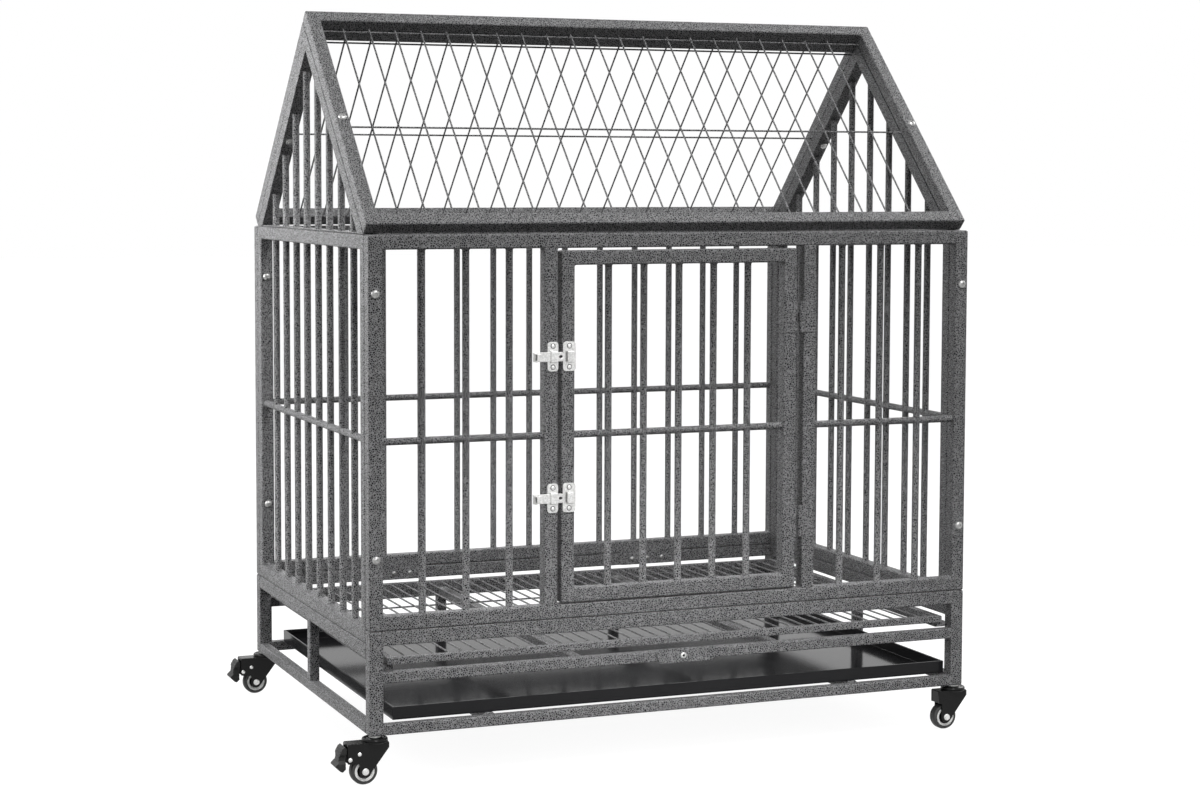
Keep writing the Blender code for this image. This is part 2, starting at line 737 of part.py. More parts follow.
def hinge(level_name, drop):
    middle = cage_top - drop
    low = middle - hinge_barrel_length / 2
    high = middle + hinge_barrel_length / 2
    inner = (middle - hinge_barrel_length / 6, middle + hinge_barrel_length / 6)
    leaf_y = (-fit_gap - hinge_leaf_thickness, -fit_gap)
    leaf_root = hinge_barrel_diameter / 4
    jamb_x = (hinge_x + leaf_root, right_jamb_start + hinge_leaf_width)
    pin = rod((hinge_x, hinge_y, inner[0] - weld_depth), (hinge_x, hinge_y, inner[1] + weld_depth),
              hinge_pin_diameter, 8)
    jamb_parts = [knuckle((low, inner[0])), knuckle((inner[1], high)),
                  box(jamb_x, leaf_y, (low, inner[0])), box(jamb_x, leaf_y, (inner[1], high)),
                  box((right_jamb_start, jamb_x[1]), leaf_y, (low, high))]
    piece(f"{level_name}_hinge_jamb_leaf", solid(pin, jamb_parts), "hammertone", (hinge_x, hinge_y, middle))

    door_x = (door_right - hinge_leaf_width, hinge_x - leaf_root)
    sleeve_z = (inner[0] + fit_gap, inner[1] - fit_gap)
    sleeve = knuckle(sleeve_z, hinge_pin_diameter + 2 * bolt_clearance)
    door_parts = [box(door_x, leaf_y, sleeve_z), box((door_x[0], door_right), leaf_y, (low, high))]
    piece(f"{level_name}_hinge_door_leaf", solid(sleeve, door_parts), "hammertone", (hinge_x, hinge_y, middle))


door()
for level_name, drop in zip(("upper", "lower"), hinge_drops):
    hinge(level_name, drop)


# Slide bolts: a flat bar under a strap on the jamb, and a strapped keeper on the door
def strapped_plate(name, x_range, z):
    middle = (x_range[0] + x_range[1]) / 2
    plate_y = (-fit_gap - bolt_plate_thickness, -fit_gap)
    slot_front = bolt_front_face - slide_clearance
    half_slot = slide_bar_height / 2 + slide_clearance
    half_strap = half_slot + strap_thickness
    plate = box(x_range, plate_y, (z - bolt_plate_height / 2, z + bolt_plate_height / 2))
    strap = box((middle - strap_width / 2, middle + strap_width / 2),
                (slot_front - strap_thickness, plate_y[1] - bolt_plate_thickness / 2),
                (z - half_strap, z + half_strap))
    slot = box((x_range[0] - weld_depth, x_range[1] + weld_depth), (slot_front, plate_y[0]),
               (z - half_slot, z + half_slot))
    reach = bolt_plate_height / 2 - bolt_plate_rivet_inset
    rivets = [dome_head((middle, plate_y[0], z + offset), (0, -1, 0), bolt_plate_rivet, bolt_plate_rivet_height)
              for offset in (-reach, reach)]
    piece(name, solid(plate, [strap] + rivets, [slot]), "zinc", (middle, plate_y[0], z))


def slide_bolt(name, z):
    half = slide_bar_height / 2
    tail = left_jamb_start - slide_bar_overhang
    corner = slide_bar_corner
    outline = [(tail, z - half), (bolt_tip - corner, z - half), (bolt_tip, z - half + corner),
               (bolt_tip, z + half - corner), (bolt_tip - corner, z + half), (tail, z + half)]
    bar = prism(outline, bolt_front_face, bolt_back_face, across_y)
    knob = box((tail, tail + bolt_knob_width), (knob_front, bolt_front_face + weld_depth), (z - half, z + half))
    eye_x = (jamb_right + bolt_tip) / 2
    eye = box((eye_x - slide_bar_eye[0] / 2, eye_x + slide_bar_eye[0] / 2),
              (bolt_front_face - weld_depth, bolt_back_face + weld_depth),
              (z - slide_bar_eye[1] / 2, z + slide_bar_eye[1] / 2))
    piece(name, solid(bar, [knob], [eye]), "zinc", (bolt_tip, bolt_back_face, z))


for level_name, drop in zip(("upper", "lower"), slide_bolt_drops):
    strapped_plate(f"{level_name}_bolt_plate", (jamb_right - bolt_plate_width, jamb_right), cage_top - drop)
    strapped_plate(f"{level_name}_bolt_keeper", (keeper_left, keeper_left + keeper_width), cage_top - drop)
    slide_bolt(f"{level_name}_bolt", cage_top - drop)

# Turning latch, which swings down in front of the tray, and its rivet
latch_pivot = (cage_width / 2 + latch_pivot_offset, -2 * fit_gap, (mid_rail_z[0] + mid_rail_z[1]) / 2)


def tray_latch():
    pivot_x, back, z = latch_pivot
    corner = latch_height / 3
    x_range = (pivot_x - latch_short_arm + corner, pivot_x - latch_short_arm + latch_length - corner)
    z_range = (z - latch_height / 2 + corner, z + latch_height / 2 - corner)
    outline = []
    for turn, centre in enumerate(((x_range[1], z_range[1]), (x_range[0], z_range[1]),
                                   (x_range[0], z_range[0]), (x_range[1], z_range[0]))):
        outline += arc(centre, corner, turn * pi / 2, (turn + 1) * pi / 2, 3)
    plate = prism(outline, back - latch_thickness, back, across_y)
    hole = rod((pivot_x, back - latch_thickness - weld_depth, z), (pivot_x, back + weld_depth, z),
               latch_rivet_diameter + 2 * bolt_clearance, 12)
    piece("tray_latch", solid(plate, cut=[hole]), "hammertone", latch_pivot)


def latch_rivet():
    shank = latch_rivet_diameter / 2
    seat = latch_thickness + fit_gap
    profile = [(0, -fit_gap), (shank, -fit_gap), (shank, seat)]
    profile += dome_profile(latch_rivet_head, latch_rivet_head_height, seat=seat)
    piece("tray_latch_rivet", turned(profile, latch_pivot, (0, -1, 0), 12), "zinc", latch_pivot, round_piece=True)


tray_latch()
latch_rivet()


# Plates inside the back, across the seam between the back panel and the base
def back_plate(name, screw_count, left=None, right=None):
    width = (screw_count - 1) * back_screw_pitch + 2 * back_plate_margin
    start = left if right is None else right - width
    face = cage_depth - frame_tube - fit_gap
    plate = box((start, start + width), (face - back_plate_thickness, face),
                (side_base_top - back_plate_below_seam, side_base_top + back_plate_above_seam))
    screws = []
    for index in range(screw_count):
        x = start + back_plate_margin + index * back_screw_pitch
        centre = (x, face - back_plate_thickness, side_base_top - back_plate_below_seam / 2)
        screws.append(dome_head(centre, (0, -1, 0), back_screw_head, back_screw_head_height))
    piece(name, solid(plate, screws), "hammertone", (start, face, side_base_top))


back_plate("back_plate_left", 2, left=back_plate_left_inset)
back_plate("back_plate_right", 3, right=cage_width - back_plate_right_inset)


# Casters: the fork turns on a stem that is fixed in the leg, and the wheel turns on its axle
def caster_stem(name, x, y):
    shaft = stem_diameter / 2
    seat = head_foot - fit_gap
    collar_z = (head_top + fit_gap, caster_height - fit_gap)
    top = caster_height + stem_length
    profile = [(0, seat - stem_head_height), (stem_head_diameter / 2, seat - stem_head_height),
               (stem_head_diameter / 2, seat), (shaft, seat),
               (shaft, collar_z[0]), (collar_diameter / 2, collar_z[0]),
               (collar_diameter / 2, collar_z[1]), (shaft, collar_z[1]), (shaft, top), (0, top)]
    piece(name, turned(profile, (x, y, 0), (0, 0, 1), 10), "zinc", (x, y, caster_height), round_piece=True)


def caster_fork(name, x, y, braked):
    axle_x = x - caster_trail
    radius = caster_head_diameter / 2
    pivot = (axle_x + brake_pivot_dx, axle_height + brake_pivot_dz)
    tail_x = pivot[0] - brake_margin if braked else axle_x - cheek_tail
    tail_z = pivot[1] - 2 * brake_margin if braked else axle_height + cheek_tail_foot
    front_x = x + radius - weld_depth / 2
    plate_top = head_foot + caster_plate_thickness
    outline = [(tail_x, plate_top), (tail_x, tail_z)]
    outline += arc((axle_x, axle_height), cheek_boss_diameter / 2, radians(200), radians(340), 4)
    outline += [(front_x, head_foot - caster_plate_thickness), (front_x, plate_top)]
    cheeks = prism(outline, y - cheek_outer, y + cheek_outer, across_y)
    head = turned([(0, plate_top - weld_depth), (radius, plate_top - weld_depth),
                   (radius, head_top - caster_head_edge), (radius - caster_head_edge, head_top),
                   (0, head_top)], (x, y, 0), (0, 0, 1), 12)
    wheel_slot = box((tail_x - weld_depth, front_x + weld_depth), (y - cheek_inner, y + cheek_inner),
                     (0, head_foot))
    stem_bore = stem_diameter + 2 * stem_clearance
    cuts = [wheel_slot, rod((x, y, head_foot - weld_depth), (x, y, head_top + weld_depth), stem_bore, 10)]
    cross_holes = [(axle_x, axle_height, axle_diameter)]
    if braked:
        cross_holes.append((*pivot, brake_pin_diameter))
    for hole_x, hole_z, diameter in cross_holes:
        cuts.append(rod((hole_x, y - cheek_outer - weld_depth, hole_z),
                        (hole_x, y + cheek_outer + weld_depth, hole_z), diameter + 2 * bolt_clearance, 8))
    piece(name, solid(cheeks, [head], cuts), "black_steel", (x, y, caster_height))


def caster_wheel(name, x, y):
    radius = wheel_diameter / 2
    half = wheel_width / 2
    bore = axle_diameter / 2 + bolt_clearance
    hub = wheel_hub_diameter / 2
    near = [(bore, -half + wheel_hub_dish), (hub - wheel_hub_dish, -half + wheel_hub_dish),
            (hub, -half), (radius - wheel_edge, -half), (radius, -half + wheel_edge)]
    far = [(distance, -along) for distance, along in reversed(near)]
    centre = (x - caster_trail, y, axle_height)
    piece(name, turned(near + far, centre, (0, 1, 0), 16), "caster_tyre", centre, round_piece=True)


def cross_pin(centre, diameter, head_diameter, head_height, segments):
    # A headed pin through both cheeks of a fork
    shaft = diameter / 2
    head = head_diameter / 2
    seat = cheek_outer + fit_gap
    end = seat + head_height
    profile = [(0, -end), (head, -end), (head, -seat), (shaft, -seat),
               (shaft, seat), (head, seat), (head, end), (0, end)]
    return turned(profile, centre, (0, 1, 0), segments)


def caster_axle(name, x, y):
    centre = (x - caster_trail, y, axle_height)
    shape = cross_pin(centre, axle_diameter, axle_head_diameter, axle_head_height, 8)
    piece(name, shape, "zinc", centre, round_piece=True)


def brake_pedal(name, x, y):
    # Both outlines are seen from the front, about the pivot: a curved paddle and the arm with its nose
    pivot = (x - caster_trail + brake_pivot_dx, axle_height + brake_pivot_dz)
    edge = pedal_overhang
    paddle = [(-0.0080, 0.0200), (-0.0050, 0.0165), (-0.0062, 0.0030), (-0.0072, -0.0070),
              (-0.0064, -0.0150), (-0.0120, -0.0195), (-edge, -0.0080), (-edge + 0.0045, -0.0030),
              (-edge + 0.0060, 0.0080), (-edge + 0.0110, 0.0175)]
    nose_angle = brake_pivot_angle - pi - brake_nose_lag
    nose = arc((0, 0), brake_pivot_gap - brake_nose_gap, nose_angle - brake_nose_spread,
               nose_angle + brake_nose_spread, 2)
    root = brake_pin_head
    arm = [(-root, -root / 2)] + nose + [(root * 0.7, 0), (0, root * 0.7), (-root, root)]
    paddle_shape = prism([(pivot[0] + dx, pivot[1] + dz) for dx, dz in paddle],
                         y - pedal_width / 2, y + pedal_width / 2, across_y)
    arm_shape = prism([(pivot[0] + dx, pivot[1] + dz) for dx, dz in arm],
                      y - cheek_inner + cheek_gap / 2, y + cheek_inner - cheek_gap / 2, across_y)
    centre = (pivot[0], y, pivot[1])
    pin = cross_pin(centre, brake_pin_diameter, brake_pin_head, brake_pin_head_height, 8)
    piece(name, solid(paddle_shape, [arm_shape, pin]), "pedal_plastic", centre)


for end_name, y in (("front", leg_centre), ("rear", back_leg_centre)):
    for side_name, x, braked in (("left", leg_centre, True), ("right", right_leg_centre, False)):
        place_name = f"{end_name}_{side_name}"
        caster_stem(f"{place_name}_caster_stem", x, y)
        caster_fork(f"{place_name}_caster_fork", x, y, braked)
        caster_wheel(f"{place_name}_wheel", x, y)
        caster_axle(f"{place_name}_axle", x, y)
        if braked:
            brake_pedal(f"{place_name}_brake_pedal", x, y)
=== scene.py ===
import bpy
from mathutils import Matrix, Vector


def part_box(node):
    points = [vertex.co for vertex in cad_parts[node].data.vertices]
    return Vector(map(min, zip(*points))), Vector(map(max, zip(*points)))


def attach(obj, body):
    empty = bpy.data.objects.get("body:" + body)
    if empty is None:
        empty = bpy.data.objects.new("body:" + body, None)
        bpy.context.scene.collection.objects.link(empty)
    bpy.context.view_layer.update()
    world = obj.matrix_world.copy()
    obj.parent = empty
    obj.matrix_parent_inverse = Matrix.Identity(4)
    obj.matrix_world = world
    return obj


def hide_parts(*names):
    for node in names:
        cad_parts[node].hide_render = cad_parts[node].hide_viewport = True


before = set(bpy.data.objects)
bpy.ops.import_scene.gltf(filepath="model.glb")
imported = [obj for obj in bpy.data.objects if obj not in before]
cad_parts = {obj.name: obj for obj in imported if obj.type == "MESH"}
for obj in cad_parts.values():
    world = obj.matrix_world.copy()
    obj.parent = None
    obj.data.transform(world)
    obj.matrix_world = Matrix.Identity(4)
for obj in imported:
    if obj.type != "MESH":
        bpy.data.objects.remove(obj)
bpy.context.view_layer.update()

from math import cos, pi, radians, sin

import bmesh
import bpy
from mathutils import Matrix, Vector

# Places are measured from the cage's front left corner: X to the right, Y to the back, Z from the floor
cage = {
    "width": 0.920, "depth": 0.620, "tube": 0.020, "rail": 0.015, "bar": 0.010, "wire": 0.0026,
    "seam": 0.0003, "corner": 0.0026, "railCorner": 0.0021, "weld": 0.0013, "wireWeld": 0.0006,
    "sink": 0.0015, "wireSink": 0.001,  # how far ends run into what holds them
    "midBarDrop": 0.2785, "jambs": (0.252, 0.650),
    "sideBars": 8, "sideBarStart": 0.100, "sideBarPitch": 0.060,
}
cornerX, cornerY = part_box("front_panel")[0].x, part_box("front_panel")[0].y
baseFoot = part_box("base_front_frame")[0].z
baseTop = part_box("base_front_frame")[1].z
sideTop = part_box("base_left_frame")[1].z
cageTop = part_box("front_panel")[1].z
midBarHeight = cageTop - cage["midBarDrop"]
sideBarPlaces = [cage["sideBarStart"] + cage["sideBarPitch"] * step for step in range(cage["sideBars"])]
postCentres = (("left", cage["tube"] / 2), ("right", cage["width"] - cage["tube"] / 2))
toWorld = Matrix.Translation((cornerX, cornerY, 0))


# Modelling by hand, in small steps
def deselect():
    if bpy.context.object and bpy.context.object.mode != "OBJECT":
        bpy.ops.object.mode_set(mode="OBJECT")
    bpy.ops.object.select_all(action="DESELECT")


def pick(*parts):
    deselect()
    for part in parts:
        part.select_set(True)
    bpy.context.view_layer.objects.active = parts[0]


def settled(part):
    pick(part)
    bpy.ops.object.transform_apply(location=True, rotation=True, scale=True)
    return part


def moved(part, matrix):
    part.data.transform(matrix)
    part.data.update()
    return part


def shifted(part, x=0.0, y=0.0, z=0.0):
    return moved(part, Matrix.Translation((x, y, z)))


def aimed(part, start, direction):  # its own Z turned along a direction
    turn = Vector(direction).to_track_quat("Z", "Y").to_matrix().to_4x4()
    return moved(part, Matrix.Translation(start) @ turn)


def copied(part, shift=(0, 0, 0)):
    twin = part.copy()
    twin.data = part.data.copy()
    bpy.context.collection.objects.link(twin)
    return shifted(twin, *shift)


def opened(part):  # in edit mode, with all of it in hand
    pick(part)
    bpy.ops.object.mode_set(mode="EDIT")
    bpy.ops.mesh.select_all(action="SELECT")


def facesPicked(part, wanted):  # in edit mode, with only the wanted faces in hand
    opened(part)
    sheet = bmesh.from_edit_mesh(part.data)
    for face in sheet.faces:
        face.select = wanted(face.normal)
    bmesh.update_edit_mesh(part.data)


def joined(parts):
    parts = list(parts)
    pick(*parts)
    if len(parts) > 1:
        bpy.ops.object.join()
    return parts[0]


def worked(part, kind, **settings):  # adds a modifier and applies it
    pick(part)
    modifier = part.modifiers.new(kind.title(), kind)
    for name, value in settings.items():
        setattr(modifier, name, value)
    bpy.ops.object.modifier_apply(modifier=modifier.name)
    return part


def softened(part, width, segments=3, angle=40):  # rounds every hard edge
    pick(part)
    bpy.ops.object.shade_smooth()
    return worked(part, "BEVEL", width=width, segments=segments, limit_method="ANGLE",
                  angle_limit=radians(angle), harden_normals=True, use_clamp_overlap=True)


def smooth(part, angle=35):
    pick(part)
    bpy.ops.object.shade_smooth_by_angle(angle=radians(angle))
    return part


def block(low, high):  # a square section from corner to corner, drawn from a cube
    deselect()
    low, high = Vector(low), Vector(high)
    bpy.ops.mesh.primitive_cube_add(size=1, location=(low + high) / 2, scale=high - low)
    return settled(bpy.context.object)


def facedOut():  # back from edit mode with every face turned outward
    bpy.ops.mesh.select_all(action="SELECT")
    bpy.ops.mesh.normals_make_consistent(inside=False)
    bpy.ops.object.mode_set(mode="OBJECT")
    return bpy.context.object


def drawnUp(depth):  # what is in hand, flat, is drawn up into a closed form
    bpy.ops.mesh.extrude_region_move(TRANSFORM_OT_translate={"value": (0, 0, depth)})
    return facedOut()


def turned(profile, sides=24):  # a disc drawn up ring by ring; the profile lists (height, radius)
    deselect()
    bpy.ops.mesh.primitive_circle_add(vertices=sides, radius=profile[0][1], fill_type="NGON",
                                      location=(0, 0, profile[0][0]))
    opened(settled(bpy.context.object))
    for (low, before), (high, after) in zip(profile, profile[1:]):
        bpy.ops.mesh.extrude_region_move(TRANSFORM_OT_translate={"value": (0, 0, high - low)})
        grow = after / before
        bpy.ops.transform.resize(value=(grow, grow, 1), center_override=(0, 0, high))
    return facedOut()


def roundBar(start, end, radius, sides=20, flare=0.0):  # its ends are chamfered, or flared into weld collars
    start, run = Vector(start), Vector(end) - Vector(start)
    reach = run.length
    if flare:
        collar = [(-0.0004, radius + flare), (flare * 0.5, radius + flare * 0.55), (flare * 1.3, radius)]
    else:
        collar = [(0, radius * 0.7), (radius * 0.3, radius)]
    profile = collar + [(reach - along, out) for along, out in reversed(collar)]
    return aimed(smooth(turned(profile, sides)), start, run)


def outlined(points, depth):  # a flat outline in X and Y, drawn up by its depth
    deselect()
    bpy.ops.mesh.primitive_circle_add(vertices=len(points), radius=1, fill_type="NGON")
    plate = bpy.context.object
    for vertex, point in zip(plate.data.vertices, points):
        vertex.co = (*point, 0)
    opened(plate)
    return drawnUp(depth)


def standing(part, y):  # turns an outline drawn in X and Y upright, its depth towards the front
    return moved(part, Matrix(((1, 0, 0, 0), (0, 0, -1, y), (0, 1, 0, 0), (0, 0, 0, 1))))


def mitredRing(width, height, tube, depth):  # a plane inset, emptied and drawn up into square tube
    deselect()
    bpy.ops.mesh.primitive_plane_add(size=1, location=(width / 2, height / 2, 0))
    bpy.ops.transform.resize(value=(width, height, 1))
    opened(settled(bpy.context.object))
    bpy.ops.mesh.inset(thickness=tube)
    bpy.ops.mesh.delete(type="FACE")
    bpy.ops.mesh.select_all(action="SELECT")
    return drawnUp(depth)


def weldBead(start, end, radius=0.0012):  # a run of overlapping weld ripples
    run = Vector(end) - Vector(start)
    ripplePitch = 0.0022
    count = max(3, round(run.length / ripplePitch))
    step = run.length / count
    profile = [(0, radius * 0.4)]
    for ripple in range(count):
        profile += [(step * (ripple + 0.35), radius), (step * (ripple + 0.95), radius * 0.72)]
    return aimed(smooth(turned(profile, 8), 80), start, run)


def painted(part, finish):
    part.data.materials.clear()
    part.data.materials.append(finish)
    return part


def allPainted(parts, finish):
    return [painted(part, finish) for part in parts]


def facing(part, y):  # a second one, facing it across the plane at y
    twin = copied(part)
    moved(twin, Matrix.Translation((0, 2 * y, 0)) @ Matrix.Diagonal((1, -1, 1, 1)))
    twin.data.flip_normals()
    return twin


def grey(level, blue=1.0):
    return (level, level, level * blue, 1)


def valuesOf(piece, *names):
    return [piece[name] for name in names]


def fitted(name, parts, body, nodes):  # the finished piece, in its place on its body
    piece = joined(parts)
    moved(piece, toWorld)
    piece.name = name
    piece.data.name = name
    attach(piece, body)
    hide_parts(*nodes)


# Finishes
class Shade:  # one socket of a finish, so that its maths reads as maths
    def __init__(self, socket):
        self.socket = socket

    def node(self, kind, settings, inputs, output=0):
        tree = self.socket.id_data
        made = tree.nodes.new(kind)
        for name, value in settings.items():
            setattr(made, name, value)
        for name, value in inputs.items():
            if isinstance(value, Shade):
                tree.links.new(value.socket, made.inputs[name])
            else:
                made.inputs[name].default_value = value
        return Shade(made.outputs[output])

    def maths(self, operation, first, second=0.0):
        return self.node("ShaderNodeMath", {"operation": operation}, {0: first, 1: second})

    def __add__(self, other):
        return self.maths("ADD", self, other)

    def __sub__(self, other):
        return self.maths("SUBTRACT", self, other)

    def __rsub__(self, other):
        return self.maths("SUBTRACT", other, self)

    def __mul__(self, other):
        return self.maths("MULTIPLY", self, other)

    __radd__ = __add__
    __rmul__ = __mul__

    def noise(self, scale, detail=2.0, roughness=0.5, output="Fac"):
        return self.node("ShaderNodeTexNoise", {}, {"Vector": self, "Scale": scale, "Detail": detail,
                                                    "Roughness": roughness}, output)

    def stretch(self, scale):
        return self.node("ShaderNodeMapping", {}, {"Vector": self, "Scale": scale})

    def warped(self, scale, reach):  # the place, pushed about by noise
        push = self.noise(scale, 1.0, output="Color")
        centred = self.node("ShaderNodeVectorMath", {"operation": "SUBTRACT"}, {0: push, 1: (0.5, 0.5, 0.5)})
        slid = self.node("ShaderNodeVectorMath", {"operation": "SCALE"}, {0: centred, "Scale": reach})
        return self.node("ShaderNodeVectorMath", {"operation": "ADD"}, {0: self, 1: slid})

    def cells(self, scale, feature="F1"):
        return self.node("ShaderNodeTexVoronoi", {"feature": feature}, {"Vector": self, "Scale": scale},
                         "Distance")

    def between(self, low, high, start=0.0, end=1.0):
        return self.node("ShaderNodeMapRange", {"interpolation_type": "SMOOTHSTEP"},
                         {0: self, 1: low, 2: high, 3: start, 4: end})

    def mixed(self, first, second):  # self is the mask between two colours
        return self.node("ShaderNodeMix", {"data_type": "RGBA"}, {0: self, 6: first, 7: second}, 2)


def newFinish(name, **fixed):
    finish = bpy.data.materials.new(name)
    finish.use_nodes = True
    shader = finish.node_tree.nodes["Principled BSDF"]
    for socket, value in fixed.items():
        shader.inputs[socket].default_value = value
    coordinates = finish.node_tree.nodes.new("ShaderNodeTexCoord")
    return finish, shader, Shade(coordinates.outputs["Object"])


def feed(shader, **inputs):
    for name, value in inputs.items():
        shader.id_data.links.new(value.socket, shader.inputs[name.replace("_", " ")])


def bumped(height, distance, strength=1.0):
    return height.node("ShaderNodeBump", {}, {"Height": height, "Distance": distance, "Strength": strength})


def makeHammertone():
    look = {"pit": (0.012, 0.012, 0.013, 1), "vein": (0.275, 0.275, 0.279, 1), "cell": 365, "wander": 0.0020}
    finish, shader, place = newFinish("hammertonePaint", IOR=1.22)
    shaken = place.warped(360, look["wander"])
    edges = shaken.cells(look["cell"], "DISTANCE_TO_EDGE").between(0.03, 0.26, 1.0, 0.0)
    grain = place.noise(1100, 2.0, 0.6)
    patch = place.noise(24, 3.0, 0.6)
    veins = (edges * 0.85 + (grain - 0.5) * 0.60 + (patch - 0.5) * 0.30).between(0.15, 0.74)
    feed(shader, Base_Color=veins.mixed(look["pit"], look["vein"]),
         Roughness=(1 - veins) * 0.14 + patch * 0.10 + 0.36,
         Normal=bumped(edges * 0.8 + grain * 0.25, 0.00035, 0.7))
    return finish


def makeTrayEnamel():
    look = {"dark": (0.009, 0.009, 0.010, 1), "light": (0.030, 0.030, 0.032, 1)}
    finish, shader, place = newFinish("trayEnamel", IOR=1.22)
    peel = place.noise(380, 2.0, 0.55)
    cloud = place.noise(9, 4.0, 0.6)
    dust = place.noise(900, 3.0, 0.7).between(0.55, 0.80)
    feed(shader, Base_Color=(cloud * 0.6 + dust * 0.4).mixed(look["dark"], look["light"]),
         Roughness=cloud * 0.07 + dust * 0.05 + 0.07,
         Normal=bumped(peel + cloud * 3, 0.00008, 0.4))
    return finish


def makeZinc(name, dark, light):
    finish, shader, place = newFinish(name, Metallic=0.9)
    spangle = place.warped(300, 0.002).cells(520)
    brush = place.stretch((1, 1, 14)).noise(900, 2.0, 0.5)
    haze = place.noise(120, 3.0, 0.6)
    tone = (spangle * 0.5 + brush * 0.3 + haze * 0.35).between(0.2, 0.9)
    feed(shader, Base_Color=tone.mixed(grey(dark, 0.98), grey(light, 0.99)),
         Roughness=brush * 0.12 + haze * 0.16 + 0.24,
         Normal=bumped(brush * 0.5 + haze, 0.00010, 0.5))
    return finish


def makeMottled(name, look, **fixed):  # a fine grain and a wider cloud between two tones
    finish, shader, place = newFinish(name, **fixed)
    grain, cloud = place.noise(*look["grain"]), place.noise(*look["cloud"])
    grainRough, cloudRough, rough = look["rough"]  # what the grain and the cloud add, and the least
    relief = grain + cloud * look["cloudRelief"]
    tone = grain * look["share"] + cloud * (1 - look["share"])
    feed(shader, Base_Color=tone.mixed(look["dark"], look["light"]),
         Roughness=grain * grainRough + cloud * cloudRough + rough, Normal=bumped(relief, *look["bump"]))
    return finish


hammertone = makeHammertone()
trayEnamel = makeTrayEnamel()
zinc = makeZinc("zincPlate", 0.46, 0.78)
boltZinc = makeZinc("boltZinc", 0.20, 0.46)
casterBlack = makeMottled("casterBlack", {
    "dark": grey(0.003), "light": grey(0.011), "share": 0.4, "rough": (0.08, 0.12, 0.12),
    "grain": (700, 3.0, 0.6), "cloud": (60, 3.0, 0.6), "cloudRelief": 0, "bump": (0.00008, 0.5),
}, IOR=1.28)
tyreRubber = makeMottled("tyreRubber", {
    "dark": grey(0.010), "light": (0.045, 0.045, 0.044, 1), "share": 0.4, "rough": (0, 0.25, 0.42),
    "grain": (1300, 3.0, 0.7), "cloud": (150, 4.0, 0.65), "cloudRelief": 1, "bump": (0.00015, 0.6),
})
pedalPlastic = makeMottled("pedalPlastic", {
    "dark": grey(0.006), "light": (0.034, 0.034, 0.033, 1), "share": 0.5, "rough": (0, 0.2, 0.42),
    "grain": (1700, 3.0, 0.7), "cloud": (90, 3.0, 0.6), "cloudRelief": 0, "bump": (0.00020, 0.6),
}, IOR=1.32)
rimRing = makeMottled("rimRing", {
    "dark": (0.78, 0.78, 0.77, 1), "light": (0.96, 0.96, 0.95, 1), "share": 0.4, "rough": (0, 0.2, 0.25),
    "grain": (900, 3.0, 0.6), "cloud": (140, 2.0, 0.5), "cloudRelief": 0, "bump": (0.00008, 0.5),
}, Metallic=0.1)
print("finishes ready")


# Welded grilles: square tube, round bars and their welds
def welded(name, node, tubes, rods, body="cage", corner=cage["corner"]):
    frameTubes = painted(softened(joined(tubes), corner), hammertone)
    fitted(name, [frameTubes] + allPainted(rods, hammertone), body, [node])


def weldedBar(start, end):
    return roundBar(start, end, cage["bar"] / 2, flare=cage["weld"])


def meshWire(start, end):
    return roundBar(start, end, cage["wire"] / 2, 10, flare=cage["wireWeld"])


def row(part, count, pitch):  # the part and its copies, side by side along X
    return [part] + [copied(part, (pitch * index, 0, 0)) for index in range(1, count)]


def barRow(places, start, end):  # one bar drawn, the rest copied; start and end are the first one's ends
    first = weldedBar(start, end)
    return [first] + [copied(first, shift) for shift in places]


def makeFrontPanel():
    panel = {"barInset": 0.078, "barPitch": 0.0629, "bars": 3, "beadInset": 0.002}
    foot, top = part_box("front_panel")[0].z, cageTop
    tube, width, sink = cage["tube"], cage["width"], cage["sink"]
    ring = standing(mitredRing(width, top - foot, tube, tube), tube)
    tubes = [shifted(ring, z=foot)]
    low, high, centre = foot + tube, top - tube, tube / 2
    near, far = panel["beadInset"], tube - panel["beadInset"]
    beads = []
    for x in cage["jambs"]:
        tubes.append(block((x, 0, low - sink), (x + tube, tube, high + sink)))
        for edge in (x, x + tube):
            for level in (low, high):
                beads.append(weldBead((edge, near, level), (edge, far, level)))
    insets = [panel["barInset"] + step * panel["barPitch"] for step in range(panel["bars"])]
    spots = insets + [width - inset for inset in insets]
    first = spots[0]
    rods = barRow([(x - first, 0, 0) for x in spots[1:]], (first, centre, low), (first, centre, high))
    for left, right in ((tube, cage["jambs"][0]), (cage["jambs"][1] + tube, width - tube)):
        rods.append(weldedBar((left, centre, midBarHeight), (right, centre, midBarHeight)))
    welded("frontPanel", "front_panel", tubes, rods + beads)


def makeBackPanel():
    panel = {"bars": 13}
    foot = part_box("back_panel")[0].z
    tube, width, depth = cage["tube"], cage["width"], cage["depth"]
    ring = shifted(standing(mitredRing(width, cageTop - foot, tube, tube), depth), z=foot)
    step = (width - 2 * tube) / (panel["bars"] + 1)
    y = depth - tube / 2
    first = weldedBar((tube + step, y, foot + tube), (tube + step, y, cageTop - tube))
    rods = row(first, panel["bars"], step)
    rods.append(weldedBar((tube, y, midBarHeight), (width - tube, y, midBarHeight)))
    welded("backPanel", "back_panel", [ring], rods)


